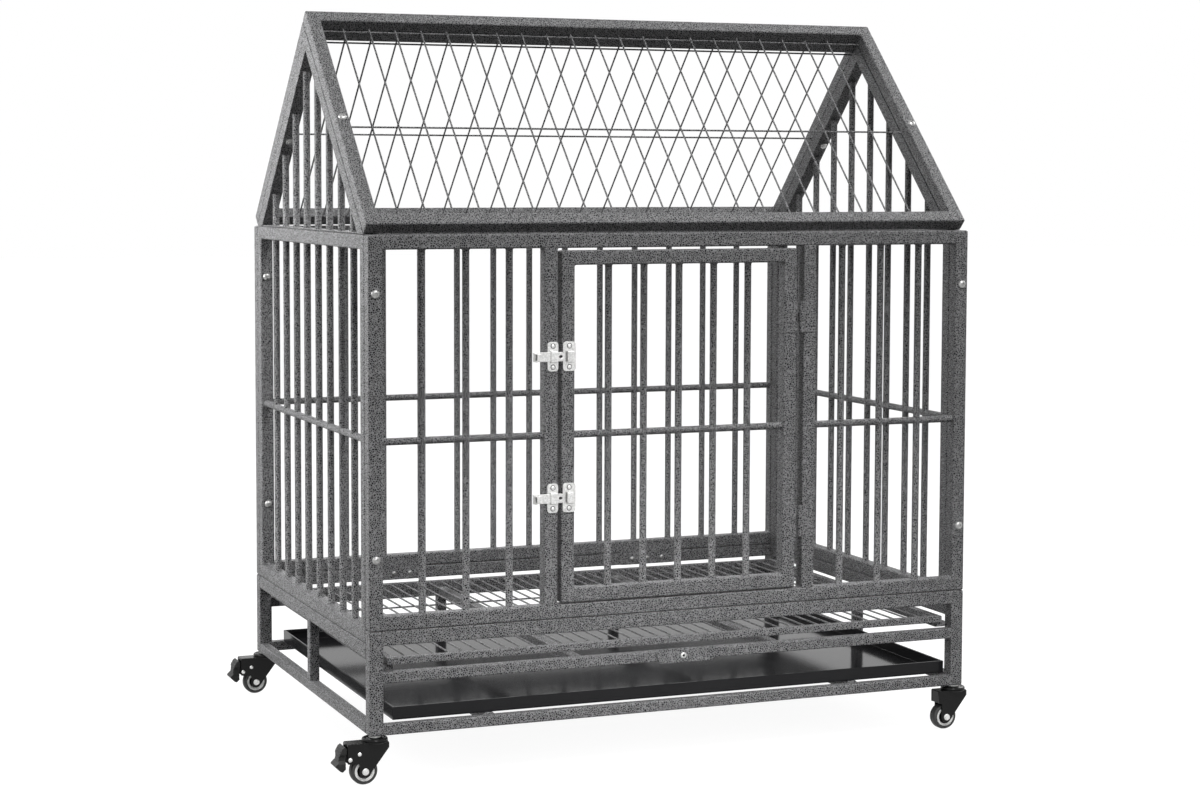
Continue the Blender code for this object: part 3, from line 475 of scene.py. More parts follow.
def makeSidePanel(side):
    name = ("left", "right")[side]
    low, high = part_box(f"{name}_panel")
    tube = cage["tube"]
    x = 0 if side == 0 else cage["width"] - tube
    yStart, yEnd = tube + cage["seam"], cage["depth"] - tube - cage["seam"]
    ring = mitredRing(yEnd - yStart, high.z - low.z, tube, tube)
    moved(ring, Matrix(((0, 0, 1, x), (1, 0, 0, yStart), (0, 1, 0, low.z), (0, 0, 0, 1))))
    centre = x + tube / 2
    rods = barRow([(0, y - sideBarPlaces[0], 0) for y in sideBarPlaces[1:]],
                  (centre, sideBarPlaces[0], low.z + tube), (centre, sideBarPlaces[0], high.z - tube))
    rods.append(weldedBar((centre, yStart + tube, midBarHeight), (centre, yEnd - tube, midBarHeight)))
    heads = [aimed(boltHead(), (centre, yEnd - tube, cageTop - drop), (0, -1, 0)) for drop in bolts["drops"]]
    panel = painted(softened(ring, cage["corner"]), hammertone)
    parts = [panel] + allPainted(rods, hammertone) + allPainted(heads, boltZinc)
    fitted(f"{name}Panel", parts, "cage", [f"{name}_panel"])


bolts = {"head": 0.012, "rise": 0.0036, "shank": 0.006, "socket": 0.0021, "drops": (0.0790, 0.4370),
         "reach": 0.038, "roofRun": 0.2050, "nut": 0.0058, "nutHeight": 0.0040, "pastNut": 0.0054}


def domed(radius, rise, angles):
    return [(rise * sin(angle), radius * cos(angle)) for angle in angles]


def boltHead():  # a domed head with a socket in it
    r, rise, socket = bolts["head"] / 2, bolts["rise"], bolts["socket"]
    profile = [(-0.0003, r * 0.96), (0, r), (0.0004, r)] + domed(r, rise, (0.25, 0.5, 0.75, 1.0, 1.2))
    profile += [(rise, socket * 1.15), (rise - 0.0003, socket), (rise - 0.0015, socket * 0.85)]
    return smooth(turned(profile, 24), 50)


def makePostBolts():
    for side, x in postCentres:
        for level, drop in zip(("upper", "lower"), bolts["drops"]):
            z = cageTop - drop
            head = aimed(boltHead(), (x, -cage["seam"], z), (0, -1, 0))
            shank = roundBar((x, bolts["reach"], z), (x, 0, z), bolts["shank"] / 2, 12)
            parts = allPainted((head, shank), boltZinc)
            fitted(f"{side}Post{level.title()}Bolt", parts, "cage", [f"{side}_post_{level}_bolt"])


# The roof: its slopes are drawn flat, then laid at 45 degrees
roof = {"setback": 0.008, "seat": 0.0005, "lengths": (0.42709, 0.40679), "pitch": 0.0395, "wires": 21,
        "frontSlide": -0.0092, "midRods": (0.2035, 0.1965), "endRod": 0.005}
slope = sin(pi / 4)
outerDrop = cage["tube"] + cage["seam"]  # the gables lie this far under the slopes


def slopePlace(side, x=0.0, run=0.0, depth=0.0):
    y = roof["setback"] + (run + depth) * slope
    z = cageTop + roof["seat"] + cage["tube"] * slope + (run - depth) * slope
    return Vector((x, cage["depth"] - y if side else y, z))


def laid(part, side):  # from flat drawing to slope: drawn X across, Y up the slope, Z out of it
    tube = cage["tube"]
    if side == 0:
        turn = Matrix(((1, 0, 0), (0, slope, -slope), (0, slope, slope)))
        origin = slopePlace(0, 0, 0, tube)
    else:
        turn = Matrix(((-1, 0, 0), (0, -slope, slope), (0, slope, slope)))
        origin = slopePlace(1, cage["width"], 0, tube)
    return moved(part, Matrix.Translation(origin) @ turn.to_4x4())


def makeRoofPanel(side):
    name = ("front", "back")[side]
    tube, width, length = cage["tube"], cage["width"], roof["lengths"][side]
    tubes = [mitredRing(width, length, tube, tube)]
    half, sink = cage["wire"] / 2, cage["wireSink"]
    first = (width - (roof["wires"] - 1) * roof["pitch"]) / 2
    if side == 0:
        first += roof["frontSlide"]
    level = 2 * cage["wire"] - half
    wire = meshWire((first, tube - sink, level), (first, length - tube + sink, level))
    rods = row(wire, roof["wires"], roof["pitch"])
    for run in (roof["midRods"][side], length - tube - roof["endRod"]):
        rods.append(meshWire((tube - sink, run, level - half), (width - tube + sink, run, level - half)))
    for part in tubes + rods:
        laid(part, side)
    welded(f"{name}Roof", f"{name}_roof_panel", tubes, rods)


def makeGable(side):
    plate = {"inset": 0.0008, "setIn": 0.012, "thickness": 0.002}
    name = ("left", "right")[side]
    tube, depth = cage["tube"], cage["depth"]
    x = 0 if side == 0 else cage["width"] - tube
    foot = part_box(f"{name}_gable")[0].z
    start = slopePlace(0, 0, 0, outerDrop)
    member = block((-0.1, -tube, 0), (0.6, 0, tube))  # cut upright at the ridge and level at its foot
    moved(member, Matrix.Rotation(pi / 4, 4, "Z"))
    cutAcross(member, (depth / 2 - start.y, 0, 0), (1, 0, 0))
    cutAcross(member, (0, foot - start.z, 0), (0, -1, 0))
    moved(member, Matrix(((0, 0, 1, x), (1, 0, 0, start.y), (0, 1, 0, start.z), (0, 0, 0, 1))))
    plateStart = start.y - (start.z - foot) + plate["setIn"]
    plateEnd = (x + tube - plate["inset"], depth - plateStart, foot + plate["thickness"])
    tubes = [member, facing(member, depth / 2), block((x + plate["inset"], plateStart, foot), plateEnd)]
    centre = x + tube / 2
    top = slopePlace(0, 0, 0, outerDrop + tube)
    rods = []
    for y in sideBarPlaces:
        inward = min(y, depth - y)
        rods.append(weldedBar((centre, y, foot + plate["thickness"]), (centre, y, top.z + inward - top.y)))
    welded(f"{name}Gable", f"{name}_gable", tubes, rods)


def cutAcross(part, place, normal):  # bisects and throws away what lies on the normal's side
    opened(part)
    bpy.ops.mesh.bisect(plane_co=place, plane_no=normal, use_fill=True, clear_outer=True)
    facedOut()


def makeRoofBolts():
    nutR, nutHeight = bolts["nut"], bolts["nutHeight"]
    for name, x in postCentres:
        for side, place in enumerate(("front", "back")):
            seat = slopePlace(side, x, bolts["roofRun"], 0)
            out = Vector((0, -slope if side == 0 else slope, slope))
            head = aimed(boltHead(), seat + out * cage["seam"], out)
            inner = seat - out * (2 * cage["tube"] + 3 * cage["seam"])
            shank = roundBar(seat, inner - out * bolts["pastNut"], bolts["shank"] / 2, 12)
            nut = softened(turned([(0, nutR), (nutHeight, nutR)], 6), 0.0006, 2)
            aimed(nut, inner - out * 0.0002, -out)
            parts = allPainted((head, shank, nut), boltZinc)
            fitted(f"{name}Roof{place.title()}Bolt", parts, "cage", [f"{name}_roof_{place}_bolt"])


makeFrontPanel()
makeBackPanel()
makeSidePanel(0)
makeSidePanel(1)
makePostBolts()
print("body panels done")
makeRoofPanel(0)
makeRoofPanel(1)
makeGable(0)
makeGable(1)
makeRoofBolts()
print("roof done")

# The base: legs, rails and the ledges under the floor
base = {"midRail": 0.0712, "ledgeWidth": 0.018, "ledgeHeight": 0.0088, "thirds": (1 / 3, 2 / 3),
        "bearerSpread": 0.567, "bearerLift": 0.001}
lowRail = (baseFoot, baseFoot + cage["rail"])
midRail = (baseFoot + base["midRail"], baseFoot + base["midRail"] + cage["rail"])
sidePosts = (lowRail[1] - cage["sink"], sideTop - cage["tube"] + cage["sink"])


def railBeads(xs, yRange, levels):  # beads where rails meet the legs
    low, high = yRange[0] + cage["sink"], yRange[1] - cage["sink"]
    return [weldBead((x, low, level), (x, high, level)) for x in xs for level in levels]


def makeLeggedFrame(name, node, yRange, railY, top, posts):
    tube, width, sink, half = cage["tube"], cage["width"], cage["sink"], cage["rail"] / 2
    postZ = (lowRail[1] - sink, midRail[0] + sink)
    railX = (tube - sink, width - tube + sink)
    tubes = [block((0, yRange[0], baseFoot), (tube, yRange[1], top)),
             block((width - tube, yRange[0], baseFoot), (width, yRange[1], top)),
             block((railX[0], railY[0], lowRail[0]), (railX[1], railY[1], lowRail[1])),
             block((railX[0], railY[0], midRail[0]), (railX[1], railY[1], midRail[1])),
             block((railX[0], yRange[0], top - tube), (railX[1], yRange[1], top))]
    beads = railBeads((tube, width - tube), railY, (lowRail[1], midRail[0], midRail[1], top - tube))
    for x in posts:
        tubes.append(block((x - half, railY[0], postZ[0]), (x + half, railY[1], postZ[1])))
        beads += railBeads((x - half, x + half), railY, (lowRail[1], midRail[0]))
    welded(name, node, tubes, beads, corner=cage["railCorner"])


def makeSideFrame(side):
    name = ("left", "right")[side]
    tube, rail, width, depth = cage["tube"], cage["rail"], cage["width"], cage["depth"]
    seam, sink = cage["seam"], cage["sink"]
    full = (tube + seam, depth - tube - seam)
    middle = ((depth - rail) / 2, (depth + rail) / 2)
    ledge = (midRail[1] + seam, midRail[1] + seam + base["ledgeHeight"])
    ledgeRun = (rail + seam, depth - rail - seam)
    inner = tube + 2 * seam

    def across(low, high):
        return (low, high) if side == 0 else (width - high, width - low)

    def section(xs, ys, zs):
        xs = across(*xs)
        return block((xs[0], ys[0], zs[0]), (xs[1], ys[1], zs[1]))

    tubes = [section((0, tube), full, (sideTop - tube, sideTop)),
             section((0, rail), full, lowRail),
             section((0, rail), middle, sidePosts),
             section((rail - sink, inner + sink), middle, ledge),
             section((inner, inner + base["ledgeWidth"]), ledgeRun, ledge)]
    xs = across(sink, rail - sink)
    beads = [weldBead((xs[0], y, level), (xs[1], y, level))
             for y in middle for level in (lowRail[1], sideTop - tube)]
    welded(f"{name}Base", f"base_{name}_frame", tubes, beads, corner=cage["railCorner"])


def makeBaseBar(name, node, x, foot):
    rail, sink, bead = cage["rail"], cage["sink"], 0.0009
    low, high = rail + cage["seam"], cage["depth"] - rail - cage["seam"]
    bar = block((x - rail / 2, low, foot), (x + rail / 2, high, foot + rail))
    beads = [weldBead((edge, y, foot + sink), (edge, y, foot + rail - sink), bead)
             for edge in (x - rail / 2, x + rail / 2) for y in (low + bead, high - bead)]
    welded(name, node, [bar], beads, corner=cage["railCorner"])


thirds = [cage["width"] * third for third in base["thirds"]]
makeLeggedFrame("frontBase", "base_front_frame", (0, cage["tube"]), (0, cage["rail"]), baseTop, [])
makeLeggedFrame("backBase", "base_back_frame", (cage["depth"] - cage["tube"], cage["depth"]),
                (cage["depth"] - cage["rail"], cage["depth"]), sideTop, thirds)
makeSideFrame(0)
makeSideFrame(1)
makeBaseBar("floorBarLeft", "floor_bar_left", thirds[0], midRail[0])
makeBaseBar("floorBarRight", "floor_bar_right", thirds[1], midRail[0])
bearerFoot = baseFoot + base["bearerLift"]
makeBaseBar("trayBearerLeft", "tray_bearer_left", (cage["width"] - base["bearerSpread"]) / 2, bearerFoot)
makeBaseBar("trayBearerRight", "tray_bearer_right", (cage["width"] + base["bearerSpread"]) / 2, bearerFoot)
print("base done")

# The floor grid and the tray
floor = {"bar": 0.010, "gridPitch": 0.021, "crossWires": 2, "corner": 0.0014, "sheet": 0.0012, "hem": 0.0026,
         "hemDrop": 0.0055, "sheetCorner": 0.0005}


def boxInCage(node):
    low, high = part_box(node)
    shift = Vector((cornerX, cornerY, 0))
    return low - shift, high - shift


def makeFloorGrid():
    low, high = boxInCage("floor_grid")
    bar, half, sink = floor["bar"], cage["wire"] / 2, cage["wireSink"]
    ring = mitredRing(high.x - low.x, high.y - low.y, bar, bar)
    shifted(ring, low.x, low.y, low.z)
    left, right, near, far = low.x + bar, high.x - bar, low.y + bar, high.y - bar
    gaps = round((right - left) / floor["gridPitch"])
    step = (right - left) / gaps
    level = low.z + bar - 2 * half
    first = meshWire((left + step, near - sink, level), (left + step, far + sink, level))
    rods = row(first, gaps - 1, step)
    for index in range(1, floor["crossWires"] + 1):
        y = near + (far - near) * index / (floor["crossWires"] + 1)
        rods.append(meshWire((left - sink, y, level - half), (right + sink, y, level - half)))
    welded("floorGrid", "floor_grid", [ring], rods, body="pull_out_grid", corner=floor["corner"])


def makeTray():
    low, high = boxInCage("tray")
    pan = block(low, high)
    facesPicked(pan, lambda normal: normal.z > 0.9)
    middle = (low + high) / 2
    size = high - low
    bpy.ops.mesh.inset(thickness=floor["hem"])
    bpy.ops.mesh.extrude_region_move(TRANSFORM_OT_translate={"value": (0, 0, -floor["hemDrop"])})
    bpy.ops.mesh.extrude_region_move(TRANSFORM_OT_translate={"value": (0, 0, 0)})
    wider = [(span - 2 * floor["sheet"]) / (span - 2 * floor["hem"]) for span in (size.x, size.y)]
    bpy.ops.transform.resize(value=(*wider, 1), center_override=(middle.x, middle.y, high.z))
    drop = size.z - floor["hemDrop"] - floor["sheet"]
    bpy.ops.mesh.extrude_region_move(TRANSFORM_OT_translate={"value": (0, 0, -drop)})
    facedOut()
    softened(pan, floor["sheetCorner"], 2)
    fitted("trayPan", [painted(pan, trayEnamel)], "pull_out_tray", ["tray"])


makeFloorGrid()
makeTray()
print("grid and tray done")

# The door with its hinges and slide bolts
door = {"bars": 5, "hingeDrops": (0.1220, 0.4160), "boltDrops": (0.1690, 0.3650), "barrel": 0.009,
        "barrelLength": 0.044, "hingeGap": 0.0055, "leaf": 0.0009, "leafWidth": 0.017, "leafLap": 0.002,
        "knuckleGap": 0.0002, "pin": 0.0021, "edge": 0.0005}
doorLow, doorHigh = boxInCage("door")
hingeX = doorHigh.x + door["hingeGap"]
hingeY = -door["barrel"] / 2


def makeDoor():
    tube = cage["tube"]
    width, height = doorHigh.x - doorLow.x, doorHigh.z - doorLow.z
    ring = standing(mitredRing(width, height, tube, tube), tube)
    shifted(ring, doorLow.x, 0, doorLow.z)
    step = (width - 2 * tube) / (door["bars"] + 1)
    x, y = doorLow.x + tube + step, tube / 2
    rods = row(weldedBar((x, y, doorLow.z + tube), (x, y, doorHigh.z - tube)), door["bars"], step)
    rods.append(weldedBar((doorLow.x + tube, y, midBarHeight), (doorHigh.x - tube, y, midBarHeight)))
    welded("doorGrille", "door", [ring], rods, body="door_leaf")


def knuckle(low, high):
    r, edge = door["barrel"] / 2, door["edge"]
    profile = [(low, r - edge), (low + edge, r), (high - edge, r), (high, r - edge)]
    return shifted(smooth(turned(profile, 20)), hingeX, hingeY)


def leafPlates(spans):  # each span is left, right, foot and top
    back = -cage["seam"]
    front = back - door["leaf"]
    plates = [block((left, front, foot), (right, back, top)) for left, right, foot, top in spans]
    return painted(softened(joined(plates), door["edge"], 2), hammertone)


def makeHinge(level, drop):
    middle, half = cageTop - drop, door["barrelLength"] / 2
    low, high, inner, gap = middle - half, middle + half, half / 3, door["knuckleGap"]
    lower, upper = (low, middle - inner - gap), (middle + inner + gap, high)
    root, lap, jamb = door["barrel"] / 4, door["leafLap"], cage["jambs"][1]
    leaf = leafPlates([(jamb, jamb + door["leafWidth"], low, high), (hingeX + root, jamb + lap, *lower),
                       (hingeX + root, jamb + lap, *upper)])
    sleeves = allPainted((knuckle(*lower), knuckle(*upper)), hammertone)
    pin = smooth(turned([(low - 0.0001, door["pin"]), (high + 0.0001, door["pin"])], 16))
    parts = [leaf] + sleeves + [painted(shifted(pin, hingeX, hingeY), zinc)]
    fitted(f"{level}HingeJambLeaf", parts, "cage", [f"{level}_hinge_jamb_leaf"])
    low, high = middle - inner + gap, middle + inner - gap
    leaf = leafPlates([(doorHigh.x - door["leafWidth"], doorHigh.x, middle - half, middle + half),
                       (doorHigh.x - lap, hingeX - root, low, high)])
    parts = [leaf, painted(knuckle(low, high), hammertone)]
    fitted(f"{level}HingeDoorLeaf", parts, "door_leaf", [f"{level}_hinge_door_leaf"])


slideBolt = {"plateHeight": 0.0408, "plateThickness": 0.0015, "plateCorner": 0.0046, "jambSetIn": 0.0163,
             "jambWidth": 0.0160, "keeperLeft": 0.2785, "keeperWidth": 0.019, "strapWidth": 0.009,
             "strapThickness": 0.0014, "strapCut": 0.0012, "rivetReach": 0.0145, "rivet": 0.0030,
             "rivetRise": 0.0016, "barHeight": 0.0130, "barThickness": 0.0030, "clear": 0.0004, "tail": 0.234,
             "tip": 0.2783, "nose": 0.0030, "noseCut": 0.0008, "eye": (0.0052, 0.0040), "knobWidth": 0.009,
             "knobHeight": 0.007, "lip": 0.0026, "edge": 0.0004}
jambEdge = cage["jambs"][0] + cage["tube"]


def roundedPlate(x, z, width, height, thickness, corner, back, steps=5):
    points = []
    for turn, (sx, sz) in enumerate(((1, 1), (-1, 1), (-1, -1), (1, -1))):
        centreX, centreZ = sx * (width / 2 - corner), sz * (height / 2 - corner)
        for step in range(steps + 1):
            angle = (turn + step / steps) * pi / 2
            points.append((x + centreX + corner * cos(angle), z + centreZ + corner * sin(angle)))
    return standing(outlined(points, thickness), back)


def rivetHead(radius, rise):
    dome = domed(radius, rise, (0.3, 0.6, 0.9, 1.2, 1.4))
    return smooth(turned([(-0.0002, radius), (0.0002, radius)] + dome, 20), 50)


def rivetInPaintedShadowRing(radius, rise, place):  # a bright head in a thin dark ring of painted shadow
    head = painted(aimed(rivetHead(radius, rise), place, (0, -1, 0)), zinc)
    # the black ring under the head is painted shadow, standing in for the shade round the head's edge
    rim = smooth(turned([(0, radius + 0.0007), (0.0002, radius + 0.0006)], 20), 50)
    return [head, painted(aimed(rim, place, (0, -1, 0)), casterBlack)]


def makeStrappedPlate(name, node, body, left, width, z):
    thickness, strap, cut = valuesOf(slideBolt, "plateThickness", "strapThickness", "strapCut")
    x, back = left + width / 2, -cage["seam"]
    plate = roundedPlate(x, z, width, slideBolt["plateHeight"], thickness, slideBolt["plateCorner"], back)
    softened(plate, slideBolt["edge"], 2)
    inner = slideBolt["barHeight"] / 2 + slideBolt["clear"]
    outer = inner + strap
    under = thickness + 2 * slideBolt["clear"] + slideBolt["barThickness"]  # the strap's underside
    over = under + strap
    arch = [(-outer, 0), (-outer, over - cut), (cut - outer, over), (outer - cut, over), (outer, over - cut),
            (outer, 0), (inner, 0), (inner, under), (-inner, under), (-inner, 0)]
    bridge = outlined([(z + up, out) for up, out in arch], slideBolt["strapWidth"])
    half = slideBolt["strapWidth"] / 2
    moved(bridge, Matrix(((0, 0, 1, x - half), (0, -1, 0, back), (1, 0, 0, 0), (0, 0, 0, 1))))
    opened(bridge)
    facedOut()
    softened(bridge, slideBolt["edge"], 2)
    parts = allPainted((plate, bridge), zinc)
    for reach in (-slideBolt["rivetReach"], slideBolt["rivetReach"]):
        parts += rivetInPaintedShadowRing(slideBolt["rivet"], slideBolt["rivetRise"], (x, back - thickness, z + reach))
    fitted(name, parts, body, [node])


def makeSlideBolt(level, z):
    thickness, half = slideBolt["barThickness"], slideBolt["barHeight"] / 2
    back = -cage["seam"] - slideBolt["plateThickness"] - slideBolt["clear"]
    tail, tip, nose, cut = valuesOf(slideBolt, "tail", "tip", "nose", "noseCut")
    upper = [(tip, half - nose), (tip - cut, half - cut), (tip - nose, half), (tail, half)]
    points = [(x, z - up) for x, up in reversed(upper)] + [(x, z + up) for x, up in upper]
    bar = standing(outlined(points, thickness), back)
    eyeX = (jambEdge + tip) / 2 - 0.001
    eyeWide, eyeHigh = slideBolt["eye"]
    eye = roundedPlate(eyeX, z, eyeWide, eyeHigh, thickness * 3, eyeHigh / 2 - 0.0001, back + thickness)
    worked(bar, "BOOLEAN", operation="DIFFERENCE", solver="EXACT", object=eye)
    bpy.data.objects.remove(eye)
    front = back - thickness
    knobFront, lipHalf = front - slideBolt["knobHeight"], half * 0.8
    knob = block((tail, knobFront, z - half), (tail + slideBolt["knobWidth"] * 0.4, front + 0.001, z + half))
    lip = block((tail, knobFront, z - lipHalf),
                (tail + slideBolt["knobWidth"], knobFront + slideBolt["lip"], z + lipHalf))
    softened(bar, slideBolt["edge"], 2)
    softened(knob, 0.0011, 3)
    softened(lip, 0.0011, 3)
    parts = allPainted((bar, knob, lip), zinc)
    fitted(f"{level}Bolt", parts, f"{level}_slide_bolt", [f"{level}_bolt"])


makeDoor()
for level, drop in zip(("upper", "lower"), door["hingeDrops"]):
    makeHinge(level, drop)
for level, drop in zip(("upper", "lower"), door["boltDrops"]):
    z = cageTop - drop
    makeStrappedPlate(f"{level}BoltPlate", f"{level}_bolt_plate", "cage", jambEdge - slideBolt["jambSetIn"],
                      slideBolt["jambWidth"], z)
    makeStrappedPlate(f"{level}BoltKeeper", f"{level}_bolt_keeper", "door_leaf", slideBolt["keeperLeft"],
                      slideBolt["keeperWidth"], z)
    makeSlideBolt(level, z)
print("door done")

# The turning latch, its rivet and the plates inside the back
latch = {"pivot": (0.462, -0.0006), "length": 0.090, "height": 0.0205, "thickness": 0.0025, "shortArm": 0.040,
         "corner": 0.0068, "edge": 0.0018, "rivet": 0.0045, "rivetHole": 0.0025, "hollowShadeRadius": 0.0016}
latchZ = (midRail[0] + midRail[1]) / 2
backPlates = {"thickness": 0.0015, "above": 0.010, "below": 0.020, "margin": 0.0225, "pitch": 0.027,
              "left": 0.200, "right": 0.718, "corner": 0.0035,
              "screw": [(-0.0002, 0.0040), (0.0003, 0.0040), (0.0013, 0.0034), (0.0020, 0.0022),
                        (0.0022, 0.0016), (0.0012, 0.0011)]}  # height and radius, down into its socket


def makeLatch():
    x, back = latch["pivot"]
    length, height, thickness, r = valuesOf(latch, "length", "height", "thickness", "rivet")
    middle = x - latch["shortArm"] + length / 2
    plate = roundedPlate(middle, latchZ, length, height, thickness, latch["corner"], back, 6)
    softened(plate, latch["edge"], 3)
    fitted("trayLatch", [painted(plate, hammertone)], "turning_latch", ["tray_latch"])
    crown = [(0.0003, 1), (0.0009, 1), (0.0018, 0.82), (0.0022, 0.62), (0.0021, 0.46), (0.0008, 0.40)]
    profile = [(-0.0004, latch["rivetHole"]), (thickness + 0.0002, latch["rivetHole"])]
    profile += [(thickness + rise, r * share) for rise, share in crown]
    rivet = painted(aimed(smooth(turned(profile, 24), 50), (x, back, latchZ), (0, -1, 0)), zinc)
    # a black disc inside the rivet's hollow is painted shade, standing in for the shadow that falls in there
    front = back - thickness - 0.0010
    hollowShade = roundBar((x, front, latchZ), (x, front - 0.0003, latchZ), latch["hollowShadeRadius"], 16)
    fitted("latchRivet", [rivet, painted(hollowShade, casterBlack)], "cage", ["tray_latch_rivet"])


def plateWidth(screws):
    return (screws - 1) * backPlates["pitch"] + 2 * backPlates["margin"]


def makeBackPlate(name, node, screws, left):
    width, thickness = plateWidth(screws), backPlates["thickness"]
    face = cage["depth"] - cage["tube"] - cage["seam"]
    height = backPlates["below"] + backPlates["above"]
    middle = sideTop + (backPlates["above"] - backPlates["below"]) / 2
    plate = roundedPlate(left + width / 2, middle, width, height, thickness, backPlates["corner"], face)
    softened(plate, 0.0004, 2)
    first = (left + backPlates["margin"], face - thickness, sideTop - backPlates["below"] / 2)
    screw = aimed(smooth(turned(backPlates["screw"], 20), 50), first, (0, -1, 0))
    heads = row(screw, screws, backPlates["pitch"])
    parts = [painted(plate, hammertone)] + allPainted(heads, boltZinc)
    fitted(name, parts, "cage", [node])


makeLatch()
makeBackPlate("backPlateLeft", "back_plate_left", 2, backPlates["left"])
makeBackPlate("backPlateRight", "back_plate_right", 3, backPlates["right"] - plateWidth(3))
print("latch and back plates done")

# Swivel casters
caster = {"wheel": 0.038, "width": 0.0150, "trail": 0.0165, "headRadius": 0.018, "headroom": 0.0161,
          "headHeight": 0.0090, "cheek": 0.0025, "cheekGap": 0.0015, "boss": 0.0082, "waist": 0.0076,
          "pivotGap": 0.0088, "pivotAngle": 140, "studPlace": (-0.0080, 0.0245), "rivet": 0.0031}
wheelR = caster["wheel"] / 2
headFoot = caster["wheel"] + caster["headroom"]
headTop = headFoot + caster["headHeight"]
cheekIn = caster["width"] / 2 + caster["cheekGap"]
cheekOut = cheekIn + caster["cheek"]
pivotX = (wheelR + caster["pivotGap"]) * cos(radians(caster["pivotAngle"]))  # from the axle
pivotZ = wheelR + (wheelR + caster["pivotGap"]) * sin(radians(caster["pivotAngle"]))


def arcPoints(centre, radius, start, end, steps):
    angles = [radians(start + (end - start) * step / steps) for step in range(steps + 1)]
    return [(centre[0] + radius * cos(angle), centre[1] + radius * sin(angle)) for angle in angles]


def bothCheeks(make, x, y, z, out):  # one for each cheek's outer face, turned to look outward
    return [aimed(make(), (x, y + way * out, z), (0, way, 0)) for way in (-1, 1)]


stem = {"rivet": 0.0065, "stud": 0.0040, "washer": 0.0083, "clear": 0.0003, "reach": 0.0280}


def makeStem(name, node, x, y):
    rivet, stud, washer, clear, reach = valuesOf(stem, "rivet", "stud", "washer", "clear", "reach")
    profile = [(headFoot - 0.0025, rivet - 0.0007), (headFoot - 0.0020, rivet), (headFoot - 0.0004, rivet),
               (headFoot - clear, stud), (headTop + clear, stud), (headTop + clear, washer),
               (baseFoot - clear, washer), (baseFoot - clear, stud), (baseFoot + reach - 0.0005, stud),
               (baseFoot + reach, stud - 0.0005)]
    shaft = shifted(smooth(turned(profile, 24), 40), x, y)
    fitted(name, [painted(shaft, zinc)], "cage", [node])


fork = {"plate": 0.004, "tail": (-0.0035, -0.0060), "plainTail": (-0.0135, 0.0205), "frontInset": 0.0008,
        "topCut": 0.0014, "rim": 0.0013, "rimSlope": 0.0006, "rimDepth": 0.0005, "edge": 0.0005,
        "boss": [(0, 0.0066), (0.0006, 0.0062), (0.0008, 0.0050)], "bossSink": 0.0006, "studRise": 0.0014,
        "head": [(-0.0015, 0.0006), (-0.0008, 0), (0.0006, 0), (0.0010, 0.0011), (0.0014, 0.0011),
                 (0.0018, 0.0001)],  # up from the plate's top, in from the rim
        "crown": [(0.0022, 0.0001), (0.0008, 0.0008), (0.0001, 0.0022), (0.0004, 0.0036), (0.0012, 0.0046),
                  (0.0014, 0.0062), (0.0004, 0.0072), (0, 0.0082), (0.0004, 0.0090),
                  (0.0010, 0.0092)]}  # down from the head's top, in from the rim


def makeFork(name, node, body, x, y, braked):
    axleX = x - caster["trail"]
    plateTop, cut = headFoot + fork["plate"], fork["topCut"]
    tailX, tailZ = ((pivotX + fork["tail"][0], pivotZ + fork["tail"][1]) if braked else
                    (fork["plainTail"][0], wheelR + fork["plainTail"][1]))
    tailX += axleX
    frontX, waist = x + caster["headRadius"] - fork["frontInset"], axleX - caster["waist"]
    outline = [(tailX + 0.0012, plateTop), (tailX, plateTop - cut), (tailX, tailZ + 0.0010),
               (tailX + 0.0010, tailZ), (waist - 0.0016, tailZ - 0.0004), (waist - 0.0004, tailZ - 0.0014),
               (waist, tailZ - 0.0032)]
    outline += arcPoints((axleX, wheelR), caster["boss"], 165, 340, 14)
    outline += [(frontX, headFoot - fork["plate"]), (frontX, plateTop - cut), (frontX - cut, plateTop)]
    cheek = standing(outlined(outline, caster["cheek"]), y + cheekOut)
    facesPicked(cheek, lambda normal: normal.y < -0.9)  # the pressed rim runs round the outer face
    bpy.ops.mesh.inset(thickness=fork["rim"])
    bpy.ops.mesh.inset(thickness=fork["rimSlope"], depth=-fork["rimDepth"])
    bpy.ops.object.mode_set(mode="OBJECT")
    softened(cheek, fork["edge"], 2, 50)
    halfWidth = cheekOut - 0.0005
    bridge = block((tailX + 0.0004, y - halfWidth, headFoot), (frontX - 0.0004, y + halfWidth, plateTop))
    softened(bridge, 0.0008, 2)
    r = caster["headRadius"]
    profile = [(plateTop + up, r - inset) for up, inset in fork["head"]]
    profile += [(headTop - down, r - inset) for down, inset in fork["crown"]]
    head = shifted(smooth(turned(profile, 48), 35), x, y)
    out = cheekOut - fork["bossSink"]
    bosses = bothCheeks(lambda: smooth(turned(fork["boss"], 24), 40), axleX, y, wheelR, out)
    parts = allPainted([cheek, facing(cheek, y), bridge, head] + bosses, casterBlack)
    if braked:  # the brake spring's rivet above the wheel
        studX, studZ = axleX + caster["studPlace"][0], wheelR + caster["studPlace"][1]
        studs = bothCheeks(lambda: rivetHead(caster["rivet"], fork["studRise"]), studX, y, studZ, out)
        parts += allPainted(studs, zinc)
    else:  # a plain plate closes the tail where the others have their pedal
        halfWidth = cheekIn - 0.0002
        plate = block((tailX + 0.0002, y - halfWidth, tailZ + 0.0006),
                      (tailX + 0.0022, y + halfWidth, plateTop - 0.0004))
        parts.append(painted(softened(plate, 0.0006, 2), casterBlack))
    fitted(name, parts, body, [node])


wheel = {"profile": [(0.0022, 0.0030), (0.0022, 0.0074), (0.0030, 0.0080), (0.0030, 0.0100), (0.0004, 0.0104),
                     (0.0001, 0.0110), (0.0001, 0.0139), (0.0006, 0.0143), (0.0001, 0.0148), (0.0002, 0.0166),
                     (0.0012, 0.0182), (0.0030, 0.0188), (0.0034, 0.0187), (0.0038, 0.0190), (0.0062, 0.0190),
                     (0.0066, 0.0187), (0.0070, 0.0190)],  # from the side in, and the radius
         "hub": 0.0103, "ring": 0.0140}


